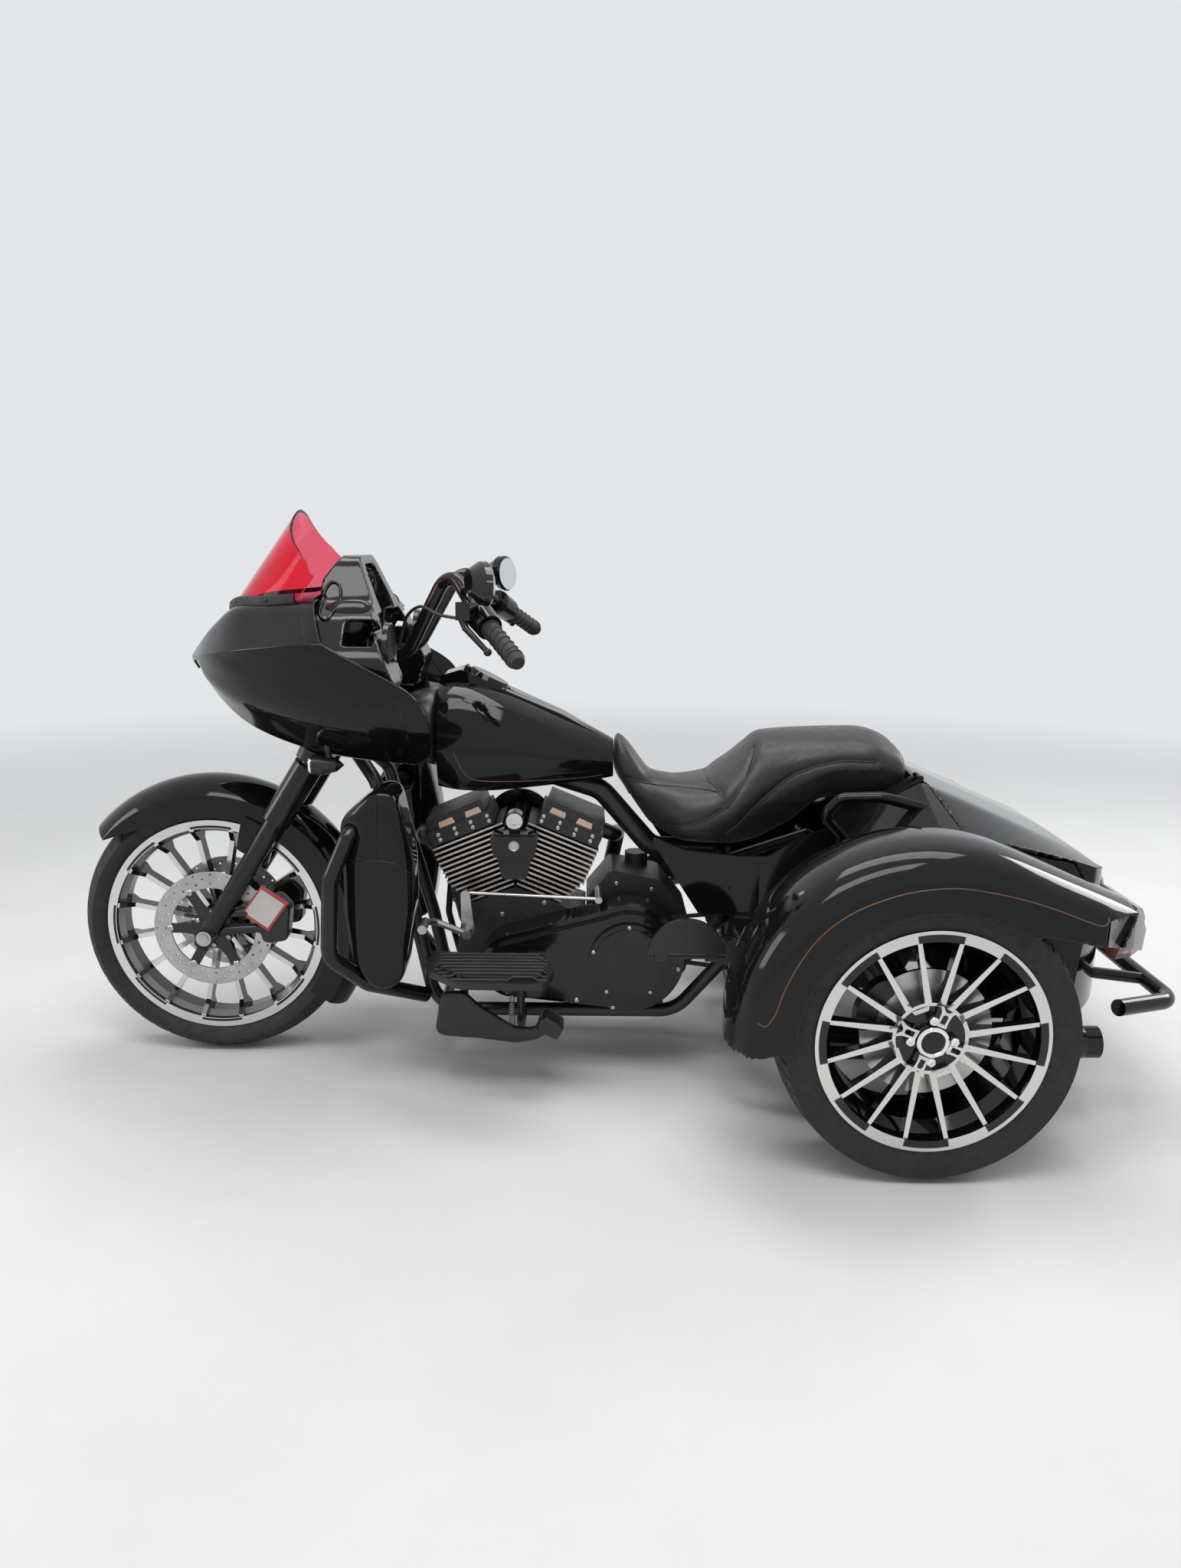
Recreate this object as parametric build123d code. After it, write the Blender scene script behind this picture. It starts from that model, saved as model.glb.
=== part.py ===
"""Motor trike: one steered front wheel, a V-twin, a frame-mounted fairing and two rear wheels.

Millimetres. +X is forward, +Y is the rider's left and +Z is up. The origin is on the ground,
under the middle of the machine's outer box, so the tyres touch the ground at Z = 0.
"""

from build123d import *
from math import cos, radians, sin, tan
import os

# Overall and running gear
LENGTH = 2670
WHEELBASE = 1670
RAKE = 26
FORK_ANGLE = 32
TRAIL = 100
SEAM = 5
FIT = 0.05
SEAT_GAP = 0.3

# Front wheel
FRONT_TYRE_R = 345
FRONT_TYRE_W = 130
FRONT_LIP_R = 279
FRONT_RIM_W = 98
FRONT_SPOKES = 16
FRONT_SPOKE_T = 12
FRONT_HUB_R = 44
FRONT_HUB_W = 140
FRONT_AXLE_R = 12
FRONT_DISC_R = 150
FRONT_DISC_T = 5

# Rear wheels
REAR_TYRE_R = 320
REAR_TYRE_W = 215
REAR_LIP_R = 245
REAR_RIM_W = 206
REAR_TRACK = 1130
REAR_SPOKES = 16
REAR_HUB_R = 66
REAR_AXLE_R = 22
REAR_HUB_BACK = 60
REAR_DISC_R = 140
REAR_DISC_T = 8

# Fork and handlebar
FORK_HALF = 120
SLIDER_R = 26
COVER_R = 36
FORK_TUBE_R = 24
LOWER_YOKE_Z = 806
UPPER_YOKE_Z = 962
YOKE_T = 30
STEM_R = 18
BAR_R = 16
GRIP_R = 19

# Engine
CRANK_X = 217
CRANK_Z = 308
BANK = 22.5
DECK = 150
FIN_COUNT = 13
FIN_PITCH = 13
FIN_T = 5
FIN_HALF_LOW = 62
FIN_HALF_TOP = 95
CYLINDER_R = 66
HEAD_H = 68
CRANKCASE_LEFT = 96
GEARBOX_LEFT = 60

# Body
SKIN = 7
FAIRING_WALL = 9
TUB_HALF = 430
LID_FRONT_X = -753
SEAT_END_X = -743
SEAT_FRONT_POCKET = -540
SEAT_PAN_Z = 715.7
POCKET_HALF = 150

front_axle_x = LENGTH / 2 - FRONT_TYRE_R
rear_axle_x = front_axle_x - WHEELBASE
front_axle_z = FRONT_TYRE_R
rear_axle_z = REAR_TYRE_R
rear_wheel_y = REAR_TRACK / 2
steer_foot_x = front_axle_x + TRAIL
rear_disc_y = rear_wheel_y + REAR_RIM_W / 2 - REAR_HUB_BACK


def rounded(*corners):
    """Closed face from corners (u, v) or (u, v, radius)."""
    points = [(c[0], c[1]) for c in corners]
    radii = [c[2] if len(c) > 2 else 0 for c in corners]
    if not any(radii):
        return make_face(Polyline(*points, close=True))
    return make_face(FilletPolyline(*points, radius=radii, close=True))


def side_plate(face, y_low, y_high):
    """A face drawn as (X, Z), made solid from y_low to y_high."""
    plane = Plane(origin=(0, y_high, 0), x_dir=(1, 0, 0), z_dir=(0, -1, 0))
    return extrude(plane * face, amount=y_high - y_low)


def front_plate(face, x_low, x_high):
    """A face drawn as (Y, Z), made solid from x_low to x_high."""
    plane = Plane(origin=(x_low, 0, 0), x_dir=(0, 1, 0), z_dir=(1, 0, 0))
    return extrude(plane * face, amount=x_high - x_low)


def plan_plate(face, z_low, z_high):
    """A face drawn as (X, Y), made solid from z_low to z_high."""
    return extrude(Plane(origin=(0, 0, z_low)) * face, amount=z_high - z_low)


def turned(face, x, y, z, arc=360):
    """A face drawn as (distance along Y, radius), turned about the Y axis through (x, y, z)."""
    plane = Plane(origin=(x, y, z), x_dir=(0, 1, 0), z_dir=(1, 0, 0))
    return revolve(plane * face, axis=Axis((x, y, z), (0, 1, 0)), revolution_arc=arc)


def rod(start, end, radius, end_radius=None):
    """A round bar, or a cone, from one point to another."""
    line = Vector(*end) - Vector(*start)
    plane = Plane(origin=start, z_dir=line)
    if end_radius is None:
        return extrude(plane * Circle(radius), amount=line.length)
    far = Plane(origin=end, z_dir=line, x_dir=plane.x_dir)
    return loft([plane * Circle(radius), far * Circle(end_radius)])


def tube(points, radius, bends, bore=0):
    """A round bar or pipe along points, with a bend radius at each inner point."""
    path = FilletPolyline(*points, radius=bends)
    start = Plane(origin=path @ 0, z_dir=path % 0)
    bar = sweep(start * Circle(radius), path=path)
    if bore:
        bar -= sweep(start * Circle(bore), path=path)
    return bar


def both_sides(piece):
    """A piece and its mirror image on the other side of the machine."""
    return Compound([*piece.solids(), *mirror(piece, about=Plane.XZ).solids()])


def steer_x(z):
    """X of the steering axis at height z."""
    return steer_foot_x - z * tan(radians(RAKE))


def fork_x(z):
    """X of a fork leg's axis at height z."""
    return front_axle_x - (z - front_axle_z) * tan(radians(FORK_ANGLE))


# Wheels


def tyre(x, y, z, radius, width, lip_r, seat_half, shoulder_drop):
    """A tyre ring: bead, bulging side walls and a crowned tread."""
    half = width / 2
    seat_r = lip_r - 13
    shoulder_r = radius - shoulder_drop
    bulge = ((seat_half + half) / 2 + 0.2 * (half - seat_half), (lip_r + shoulder_r) / 2)
    outline = (
        Polyline((-seat_half, lip_r), (-seat_half, seat_r), (seat_half, seat_r), (seat_half, lip_r))
        + ThreePointArc((seat_half, lip_r), bulge, (half, shoulder_r))
        + ThreePointArc((half, shoulder_r), (0, radius), (-half, shoulder_r))
        + ThreePointArc((-half, shoulder_r), (-bulge[0], bulge[1]), (-seat_half, lip_r))
    )
    return turned(make_face(outline), x, y, z)


def front_tyre():
    """Narrow, round-shouldered front tyre."""
    seat_half = FRONT_RIM_W / 2 - 4 - SEAT_GAP
    return tyre(front_axle_x, 0, front_axle_z, FRONT_TYRE_R, FRONT_TYRE_W, FRONT_LIP_R, seat_half, 33)


def rear_tyre(side):
    """Wide, square-shouldered rear tyre."""
    seat_half = REAR_RIM_W / 2 - 4 - SEAT_GAP
    y = side * rear_wheel_y
    return tyre(rear_axle_x, y, rear_axle_z, REAR_TYRE_R, REAR_TYRE_W, REAR_LIP_R, seat_half, 16)


def rim_barrel(lip_r, width, lip_depth, well_drop):
    """Half outline of a rim barrel as (across, radius), from one lip to the other."""
    half = width / 2
    flange = 4
    seat_r = lip_r - 13 - SEAT_GAP
    well_r = seat_r - well_drop
    wall = 7
    return rounded(
        (-half, lip_r), (-half + flange, lip_r), (-half + flange, seat_r), (-half * 0.62, seat_r),
        (-half * 0.42, well_r), (half * 0.42, well_r), (half * 0.62, seat_r),
        (half - flange, seat_r), (half - flange, lip_r), (half, lip_r),
        (half, lip_r - lip_depth), (half - 8, lip_r - lip_depth),
        (half * 0.62, seat_r - wall), (half * 0.42, well_r - wall),
        (-half * 0.42, well_r - wall), (-half * 0.62, seat_r - wall),
        (-half + 8, lip_r - lip_depth), (-half, lip_r - lip_depth),
    )


def front_rim():
    """Barrel, hub and slim straight spokes that flare to both lips."""
    x, z = front_axle_x, front_axle_z
    rim = turned(rim_barrel(FRONT_LIP_R, FRONT_RIM_W, 22, 14), x, 0, z)
    hub_half = FRONT_HUB_W / 2
    hub = rounded(
        (-hub_half, FRONT_AXLE_R + FIT), (hub_half, FRONT_AXLE_R + FIT), (hub_half, 36),
        (hub_half - 24, 36), (hub_half - 36, FRONT_HUB_R), (-hub_half + 36, FRONT_HUB_R),
        (-hub_half + 24, 36), (-hub_half, 36),
    )
    rim += turned(hub, x, 0, z)
    end_half = FRONT_RIM_W / 2 - 3
    end_r = FRONT_LIP_R - 24
    spoke = rounded(
        (-20, FRONT_HUB_R - 6), (20, FRONT_HUB_R - 6), (17, end_r - 34), (end_half, end_r - 3),
        (end_half, end_r + 4), (-end_half, end_r + 4), (-end_half, end_r - 3), (-17, end_r - 34),
    )
    for index in range(FRONT_SPOKES):
        angle = 360 / FRONT_SPOKES * (index + 0.5)
        radial = Vector(cos(radians(angle)), 0, sin(radians(angle)))
        across = Vector(0, 1, 0)
        plane = Plane(origin=(x, 0, z), x_dir=across, z_dir=across.cross(radial))
        rim += extrude(plane * spoke, amount=FRONT_SPOKE_T / 2, both=True)
    return rim


def front_discs():
    """Two brake rotors, each a ring on a star-shaped carrier bolted to the hub's end."""
    x, z = front_axle_x, front_axle_z
    inner = FRONT_HUB_W / 2
    face = Circle(FRONT_DISC_R) - Circle(FRONT_DISC_R - 42)
    arm = Rectangle(84, 16)
    for angle in range(0, 360, 60):
        face += Rot(0, 0, angle) * Pos(72, 0) * arm
    face += Circle(34)
    face -= Circle(FRONT_AXLE_R + 3)
    plane = Plane(origin=(x, inner + FRONT_DISC_T, z), x_dir=(1, 0, 0), z_dir=(0, -1, 0))
    return both_sides(extrude(plane * face, amount=FRONT_DISC_T))


def spoke_sector(root_r, root_half, tip_r, tip_angle, width_root, width_tip):
    """One straight tapered spoke as a face, pointing along +X, its tip turned by tip_angle."""
    tip = Vector(tip_r * cos(radians(tip_angle)), tip_r * sin(radians(tip_angle)))
    root = Vector(root_r, root_half)
    along = (tip - root).normalized()
    side = Vector(-along.Y, along.X)
    corners = [
        root - side * (width_root / 2), tip - side * (width_tip / 2),
        tip + side * (width_tip / 2), root + side * (width_root / 2),
    ]
    return make_face(Polyline(*[(c.X, c.Y) for c in corners], close=True))


def rear_rim(side):
    """Deep barrel with paired spokes: four forked pairs and four open pairs between the nuts."""
    x, y, z = rear_axle_x, side * rear_wheel_y, rear_axle_z
    rim = turned(rim_barrel(REAR_LIP_R, REAR_RIM_W, 24, 22), x, y, z)
    pitch = 360 / REAR_SPOKES
    face = Circle(REAR_HUB_R + 14)
    tip_r = REAR_LIP_R - 14
    for quarter in range(4):
        for turn, root_r, root_half in ((pitch, 62, 7), (-pitch, 76, 21)):
            for hand in (-1, 1):
                spoke = spoke_sector(root_r, hand * root_half, tip_r, hand * pitch / 2, 15, 9)
                face += Rot(0, 0, 90 * quarter + turn) * spoke
    outer = REAR_RIM_W / 2
    dish = rounded(
        (outer - 34, 0), (outer - 24, REAR_HUB_R + 14), (outer - 2, REAR_LIP_R - 14),
        (outer - 2, REAR_LIP_R - 8), (outer - 34, REAR_LIP_R - 8), (outer - 36, 130),
        (outer - REAR_HUB_BACK, 84), (outer - REAR_HUB_BACK, 0),
    )
    plane = Plane(origin=(x, y + outer, z), x_dir=(1, 0, 0), z_dir=(0, -1, 0))
    star = extrude(plane * face, amount=outer) & turned(dish, x, y, z)
    hub_outline = rounded(
        (outer - REAR_HUB_BACK, 0), (outer - 8, 0), (outer - 8, 30), (outer - 12, 34),
        (outer - 26, 34), (outer - 26, REAR_HUB_R), (outer - REAR_HUB_BACK, REAR_HUB_R),
    )
    hub = turned(hub_outline, x, y, z)
    for angle in range(0, 360, 90):
        nut_x = x + 46 * cos(radians(angle))
        nut_z = z + 46 * sin(radians(angle))
        hub += rod((nut_x, y + outer - 30, nut_z), (nut_x, y + outer - 14, nut_z), 10)
    rim += star
    rim += hub
    socket = rod((x, y, z), (x, y + outer - 42, z), REAR_AXLE_R + FIT)
    rim -= socket
    return rim if side > 0 else rim.rotate(Axis((x, y, z), (0, 0, 1)), 180)


def rear_disc(side):
    """Brake rotor on the back of the rear hub."""
    x, z = rear_axle_x, rear_axle_z
    low, high = sorted((side * (rear_disc_y - REAR_DISC_T), side * rear_disc_y))
    face = Circle(REAR_DISC_R) - Circle(REAR_AXLE_R + 4)
    return side_plate(Pos(x, z) * face, low, high)


# Fork and steering


SLIDER_LENGTH = 350
AXLE_LUG_R = 25


def slider(gap):
    """The left slider's tapered form, grown by gap."""
    foot = Vector(front_axle_x, FORK_HALF, front_axle_z)
    up = Vector(-sin(radians(FORK_ANGLE)), 0, cos(radians(FORK_ANGLE)))
    low = rod(foot - up * 34, foot + up * 70, 20 + gap, 23 + gap)
    return low + rod(foot + up * 70, foot + up * SLIDER_LENGTH, 23 + gap, SLIDER_R + gap)


def fork_legs():
    """Two telescopic legs: slider with axle lug, cover and upper tube."""
    top_z = UPPER_YOKE_Z + 6
    foot = Vector(front_axle_x, FORK_HALF, front_axle_z)
    up = Vector(-sin(radians(FORK_ANGLE)), 0, cos(radians(FORK_ANGLE)))
    slider_end = foot + up * SLIDER_LENGTH
    cover_end = foot + up * 515
    top = Vector(fork_x(top_z), FORK_HALF, top_z)
    leg = slider(0)
    leg += rod(slider_end, cover_end, COVER_R)
    leg += rod(cover_end, top, FORK_TUBE_R)
    lug_low = FORK_HALF - 22
    leg += rod((foot.X, lug_low, foot.Z), (foot.X, FORK_HALF + 24, foot.Z), AXLE_LUG_R)
    leg -= rod((foot.X, 0, foot.Z), (foot.X, FORK_HALF + 60, foot.Z), FRONT_AXLE_R + FIT)
    return both_sides(leg)


def front_axle():
    """Axle through both fork lugs, with a flanged head and a nut."""
    x, z = front_axle_x, front_axle_z
    end = FORK_HALF + 24 + SEAT_GAP
    axle = rod((x, -end - 12, z), (x, end + 12, z), FRONT_AXLE_R)
    axle += rod((x, end, z), (x, end + 9, z), 19)
    axle += rod((x, -end - 9, z), (x, -end, z), 19)
    return axle


def yoke_plate(z, reach, thick, ahead, behind):
    """A yoke square to the steering axis, as a rounded bar that holds both fork tubes."""
    plane = Plane(
        origin=(steer_x(z), 0, z),
        x_dir=(0, 1, 0),
        z_dir=(-sin(radians(RAKE)), 0, cos(radians(RAKE))),
    )
    corner = 30
    plate = rounded(
        (-reach, -ahead, corner), (reach, -ahead, corner), (reach, behind, corner), (-reach, behind, corner)
    )
    return extrude(plane * plate, amount=thick / 2, both=True)


def yokes():
    """Lower and upper yoke joined by the steering stem, bored for the fork tubes."""
    reach = FORK_HALF + 42
    lower = yoke_plate(LOWER_YOKE_Z, reach, YOKE_T, 44, 28)
    upper = yoke_plate(UPPER_YOKE_Z, reach, YOKE_T - 6, 30, 50)
    stem = rod((steer_x(LOWER_YOKE_Z), 0, LOWER_YOKE_Z), (steer_x(UPPER_YOKE_Z), 0, UPPER_YOKE_Z), STEM_R)
    block = lower + upper + stem
    low_z, high_z = LOWER_YOKE_Z - 90, UPPER_YOKE_Z + 90
    for side in (-1, 1):
        y = side * FORK_HALF
        block -= rod((fork_x(low_z), y, low_z), (fork_x(high_z), y, high_z), FORK_TUBE_R + FIT)
    for side in (-1, 1):
        y = side * RISER_Y
        foot_x = steer_x(UPPER_YOKE_Z) - 8
        block += rod((foot_x, y, UPPER_YOKE_Z), (foot_x - 26, y, UPPER_YOKE_Z + 53), 24)
    return block - bar_tube(BAR_R + FIT)


RISER_Y = 62
BAR_ROUTE = [
    # x behind the steering axis's foot, y, z, bend radius
    (520, 64, 1016, 0),
    (620, 96, 1062, 60),
    (728, 150, 1262, 48),
    (790, 232, 1172, 50),
    (894, 418, 1078, 0),
]


def bar_points():
    """Corner points of the bar's left half, from the clamp out to the grip."""
    return [Vector(steer_foot_x - back, y, z) for back, y, z, _ in BAR_ROUTE]


def bar_tube(radius):
    """The handlebar's own form at a given radius."""
    left = bar_points()
    radii = [r for _, _, _, r in BAR_ROUTE]
    points = [Vector(p.X, -p.Y, p.Z) for p in reversed(left)] + left
    bends = list(reversed(radii))[1:] + radii[:-1]
    bends[3] = bends[4] = 30
    return tube(points, radius, bends)


def handlebar():
    """Tall bar: a clamped middle, two raked uprights, a peak and swept-back ends."""
    return bar_tube(BAR_R)


def bar_end(start, end):
    """Two points on the left bar end, at shares of its last run."""
    a, b = bar_points()[-2:]
    return a + (b - a) * start, a + (b - a) * end


def grips():
    """Sleeves over the bar ends, each with a stepped end cap."""
    near, far = bar_end(0.42, 1.0)
    along = (far - near).normalized()
    grip = rod(near, far + along * 6, GRIP_R)
    grip += rod(far + along * 6, far + along * 20, GRIP_R + 2, GRIP_R - 4)
    grip -= rod(near - along * 5, far + along * SEAT_GAP, BAR_R + FIT)
    return both_sides(grip)


def control_pod():
    """Left switch housing with its master cylinder and lever."""
    near, far = bar_end(0.16, 0.40)
    along = (far - near).normalized()
    pod = rod(near, far, 33, 30)
    ahead = Vector(0.83, 0.0, 0.10)
    tank_mid = near + along * 18 + ahead * 34
    pod += Pos(*(tank_mid + Vector(0, 0, 16))) * Rot(0, 0, -28) * Box(38, 62, 40)
    pivot = near + along * 4 + ahead * 58
    knee = pivot + along * 72 + ahead * 14
    tip = pivot + along * 176 + ahead * 4
    pod += rod(tank_mid, pivot, 13)
    pod += rod(pivot, knee, 8)
    pod += rod(knee, tip, 7.5, 6)
    pod += Pos(*tip) * Sphere(9)
    pod += Pos(*knee) * Sphere(8)
    pod -= bar_tube(BAR_R + FIT)
    return max(pod.solids(), key=lambda solid: solid.volume)


def hand_controls():
    """Switch housing, master cylinder and lever on each side."""
    return both_sides(control_pod())


MIRROR_BACK = 818
MIRROR_Y = 322
MIRROR_Z = 1232


def mirrors():
    """Oval mirror heads on curved stalks above the hand controls."""
    near, far = bar_end(0.16, 0.40)
    mid = Vector(steer_foot_x - MIRROR_BACK, MIRROR_Y, MIRROR_Z)
    foot = near + (far - near) * 0.4 + Vector(26, 0, 32)
    plane = Plane(origin=mid, x_dir=(0.28, -0.86, 0.42), z_dir=(0.92, 0.36, 0.12))
    rows = [(-14, 60, 38), (-8, 66, 44), (6, 64, 42), (32, 38, 24)]
    ovals = [plane.offset(depth) * Ellipse(long, short) for depth, long, short in rows]
    head = loft(ovals, ruled=True)
    elbow = mid + Vector(66, -66, -18)
    stalk = tube([foot, elbow, mid + Vector(16, -6, -10)], 8, [18])
    whole = head + stalk - control_pod()
    return both_sides(max(whole.solids(), key=lambda solid: solid.volume))


def turn_signals():
    """Bullet lamps on short stems below the fairing."""
    z, y = LOWER_YOKE_Z - 3, 214
    lamp = turned_along_x([(0, 0), (0, 21), (6, 24), (30, 24), (62, 16), (80, 0)], 690, y, z)
    stem = rod((646, y, z + 16), (646, y + 14, z + 62), 8) - Pos(0, 0, -SEAT_GAP) * fairing_solid()
    return both_sides(lamp + max(stem.solids(), key=lambda solid: solid.volume))


def turned_along_x(outline, x, y, z):
    """Solid turned about an axis along X, from (distance behind x, radius) points."""
    plane = Plane(origin=(x, y, z), x_dir=(-1, 0, 0), z_dir=(0, -1, 0))
    face = make_face(Polyline(*outline, close=True))
    return revolve(plane * face, axis=Axis((x, y, z), (-1, 0, 0)))


FENDER_INNER_R = FRONT_TYRE_R + 14


def front_fender():
    """Wrap-round front mudguard with a rounded crown and deep side walls, on two stays."""
    x, z = front_axle_x, front_axle_z
    half, wall = 84, 4
    crown_r = FENDER_INNER_R + 32
    edge_r = 294
    outer = (
        Polyline((-half, edge_r), (-half, crown_r - 40))
        + ThreePointArc((-half, crown_r - 40), (0, crown_r), (half, crown_r - 40))
        + Polyline((half, crown_r - 40), (half, edge_r), (half - wall, edge_r), (half - wall, crown_r - 42))
        + ThreePointArc((half - wall, crown_r - 42), (0, crown_r - wall), (-half + wall, crown_r - 42))
        + Polyline((-half + wall, crown_r - 42), (-half + wall, edge_r), (-half, edge_r))
    )
    start, arc = 42, 172
    radial = (cos(radians(start)), 0, sin(radians(start)))
    across = Vector(0, 1, 0)
    plane = Plane(origin=(x, 0, z), x_dir=across, z_dir=across.cross(Vector(*radial)))
    guard = revolve(plane * make_face(outer), axis=Axis((x, 0, z), (0, -1, 0)), revolution_arc=arc)
    front_trim = rounded(
        (x + 130, z + 150), (x + 420, z + 130), (x + 420, z + 240), (x + 262, z + 232, 20),
        (x + 170, z + 262, 60), (x + 90, z + 282, 60), (x - 10, z + 290),
        (x - 10, z + 200),
    )
    guard -= side_plate(front_trim, -half - 10, half + 10)
    bracket = rounded(
        (x - 178, z + 258, 10), (x - 94, z + 302, 10), (x - 76, z + 216, 10), (x - 150, z + 170, 10)
    )
    for side in (-1, 1):
        low, high = sorted((side * (half - 2), side * (FORK_HALF - SLIDER_R - SEAT_GAP)))
        guard += side_plate(bracket, low, high)
    return guard


def front_calipers():
    """Brake calipers on lugs behind the fork legs, astride the rotors."""
    x, z = front_axle_x - 152, front_axle_z + 34
    rotor_in = FRONT_HUB_W / 2
    profile = rounded(
        (x - 42, z - 58, 16), (x + 22, z - 66, 16), (x + 34, z + 30, 16), (x - 20, z + 66, 16),
        (x - 52, z + 30, 16)
    )
    body = side_plate(profile, rotor_in - 22, FORK_HALF - 20)
    sweep_face = Pos(front_axle_x, front_axle_z) * Circle(FRONT_DISC_R + 3)
    body -= side_plate(sweep_face, rotor_in - 4, rotor_in + FRONT_DISC_T + 4)
    for leg_z in (z - 24, z + 20):
        body += rod((x + 20, FORK_HALF - 27, leg_z), (fork_x(leg_z), FORK_HALF - 4, leg_z), 12)
    body -= slider(SEAT_GAP)
    lug_end = (front_axle_x, FORK_HALF + 40, front_axle_z)
    body -= rod((front_axle_x, 0, front_axle_z), lug_end, AXLE_LUG_R + SEAT_GAP)
    body = max(body.solids(), key=lambda solid: solid.volume)
    return both_sides(body)


# Fairing

FAIRING = [
    # x, top z, hood y, hood z, crease y, crease z, low y, low z, bottom y, bottom z
    (1020, 1040, 12, 1039, 18, 1034, 14, 1027, 8, 1022),
    (960, 1108, 84, 1100, 132, 1050, 112, 990, 66, 962),
    (880, 1176, 150, 1166, 236, 1067, 210, 960, 130, 896),
    (660, 1198, 228, 1190, 344, 1096, 322, 926, 190, 822),
    (380, 1196, 268, 1180, 376, 1094, 358, 916, 214, 800),
]

FAIRING_SIDE = [
    # x, z, corner radius
    (1040, 1000, 0), (1040, 1070, 0), (880, 1230, 0), (668, 1230, 0), (664, 1180, 0), (626, 1074, 60),
    (500, 1014, 160), (382, 984, 34), (392, 826, 60), (440, 796, 30), (560, 790, 0), (560, 700, 0),
    (900, 700, 0),
]


def fairing_section(row, inset, dip):
    """One cross-section of the fairing, shrunk by inset and with its bottom dropped by dip."""
    x, top, hood_y, hood_z, crease_y, crease_z, low_y, low_z, bottom_y, bottom_z = row
    half = [
        (0, top - inset), (hood_y - inset * 0.6, hood_z - inset), (crease_y - inset, crease_z - inset * 0.3),
        (low_y - inset, low_z), (bottom_y - inset * 0.8, bottom_z + inset * 0.3),
        (bottom_y - inset * 0.8, bottom_z - dip),
    ]
    if not dip:
        half.pop()
    loop = half + [(-y, z) for y, z in reversed(half[1:])]
    plane = Plane(origin=(x, 0, 0), x_dir=(0, 1, 0), z_dir=(1, 0, 0))
    return plane * make_face(Polyline(*loop, close=True))


def fairing_solid():
    """The fairing's outer form, before it is hollowed."""
    return loft([fairing_section(row, 0, 0) for row in FAIRING])


LAMP_Y = 62
LAMP_Z = 1004
LAMP_R = 40


def fairing_shell():
    """Shark-nosed outer fairing: a hollow shell, open behind and below, with two lamp openings."""
    shell = fairing_solid() & side_plate(rounded(*FAIRING_SIDE), -400, 400)
    rows = [row for row in FAIRING if row[0] < 1000]
    inner_rows = [(row[0] - FAIRING_WALL * 1.6, *row[1:]) for row in rows[:-1]] + [(370, *rows[-1][1:])]
    shell -= loft([fairing_section(row, FAIRING_WALL, 60) for row in inner_rows])
    for side in (-1, 1):
        shell -= rod((860, side * LAMP_Y, LAMP_Z), (1030, side * LAMP_Y, LAMP_Z), LAMP_R + 1)
    return max(shell.solids(), key=lambda solid: solid.volume)


def headlamps():
    """Two round lamps that fill the openings in the nose."""
    solid = fairing_solid()
    lamps = []
    for side in (-1, 1):
        lamp = rod((880, side * LAMP_Y, LAMP_Z), (1030, side * LAMP_Y, LAMP_Z), LAMP_R)
        lamps += (lamp & (Pos(-6, 0, 0) * solid)).solids()
    return Compound(lamps)


DASH_BELL = [
    # y, z, corner radius
    (-318, 940, 30), (-330, 1062, 60), (-236, 1150, 70), (-150, 1180, 60), (-96, 1284, 60),
    (96, 1284, 60), (150, 1180, 60), (236, 1150, 70), (330, 1062, 60), (318, 940, 30),
]


def fairing_dash():
    """Inner fairing: a bell-shaped hood round a recessed instrument face, with speaker pods."""
    profile = rounded(
        (622, 930), (640, 1060), (676, 1150), (664, 1230, 30), (616, 1296, 24), (588, 1292, 10),
        (520, 1120, 60), (470, 1010, 30), (500, 930),
    )
    dash = side_plate(profile, -340, 340) & front_plate(rounded(*DASH_BELL), 440, 700)
    solid = fairing_solid()
    rows = [fairing_section(row, FAIRING_WALL + 1, 60) for row in FAIRING[1:]]
    room = Pos(-FAIRING_WALL * 0.4, 0, 0) * loft(rows)
    above = side_plate(rounded((300, 1240), (700, 1240), (700, 1400), (300, 1400)), -400, 400)
    dash = (dash & room) + (dash & above) + ((dash - solid) - side_plate(
        rounded((300, 800), (700, 800), (700, 1150), (300, 1150)), -400, 400))
    recess = rounded(
        (-74, 1080, 20), (-96, 1180, 40), (-58, 1262, 40), (58, 1262, 40), (96, 1180, 40), (74, 1080, 20),
    )
    tilt = side_plate(rounded((640, 1262), (598, 1272), (400, 1180), (400, 1000), (560, 1075)), -110, 110)
    dash -= front_plate(recess, 420, 640) & tilt
    for side in (-1, 1):
        dash -= rod((520, side * 232, 1076), (590, side * 232, 1076), 66)
    bar_room = rounded(
        (-190, 900), (-190, 1040, 60), (-120, 1100, 60), (120, 1100, 60), (190, 1040, 60), (190, 900),
    )
    dash -= front_plate(bar_room, 400, 700)
    dash -= front_plate(rounded((-270, 880), (-270, 1020, 40), (270, 1020, 40), (270, 880)), 600, 700)
    dash -= front_plate(rounded((-172, 960), (-172, 1150, 40), (172, 1150, 40), (172, 960)), 400, 558)
    return max(dash.solids(), key=lambda solid: solid.volume)


def shield_section(z, side_x, middle_x, half, inset):
    """Half-moon section of the windshield's form at height z."""
    outline = ThreePointArc((side_x - inset, -half), (middle_x - inset, 0), (side_x - inset, half))
    outline += Polyline(
        (side_x - inset, half), (side_x - 90, half), (side_x - 90, -half), (side_x - inset, -half)
    )
    return Plane(origin=(0, 0, z)) * make_face(outline)


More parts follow.
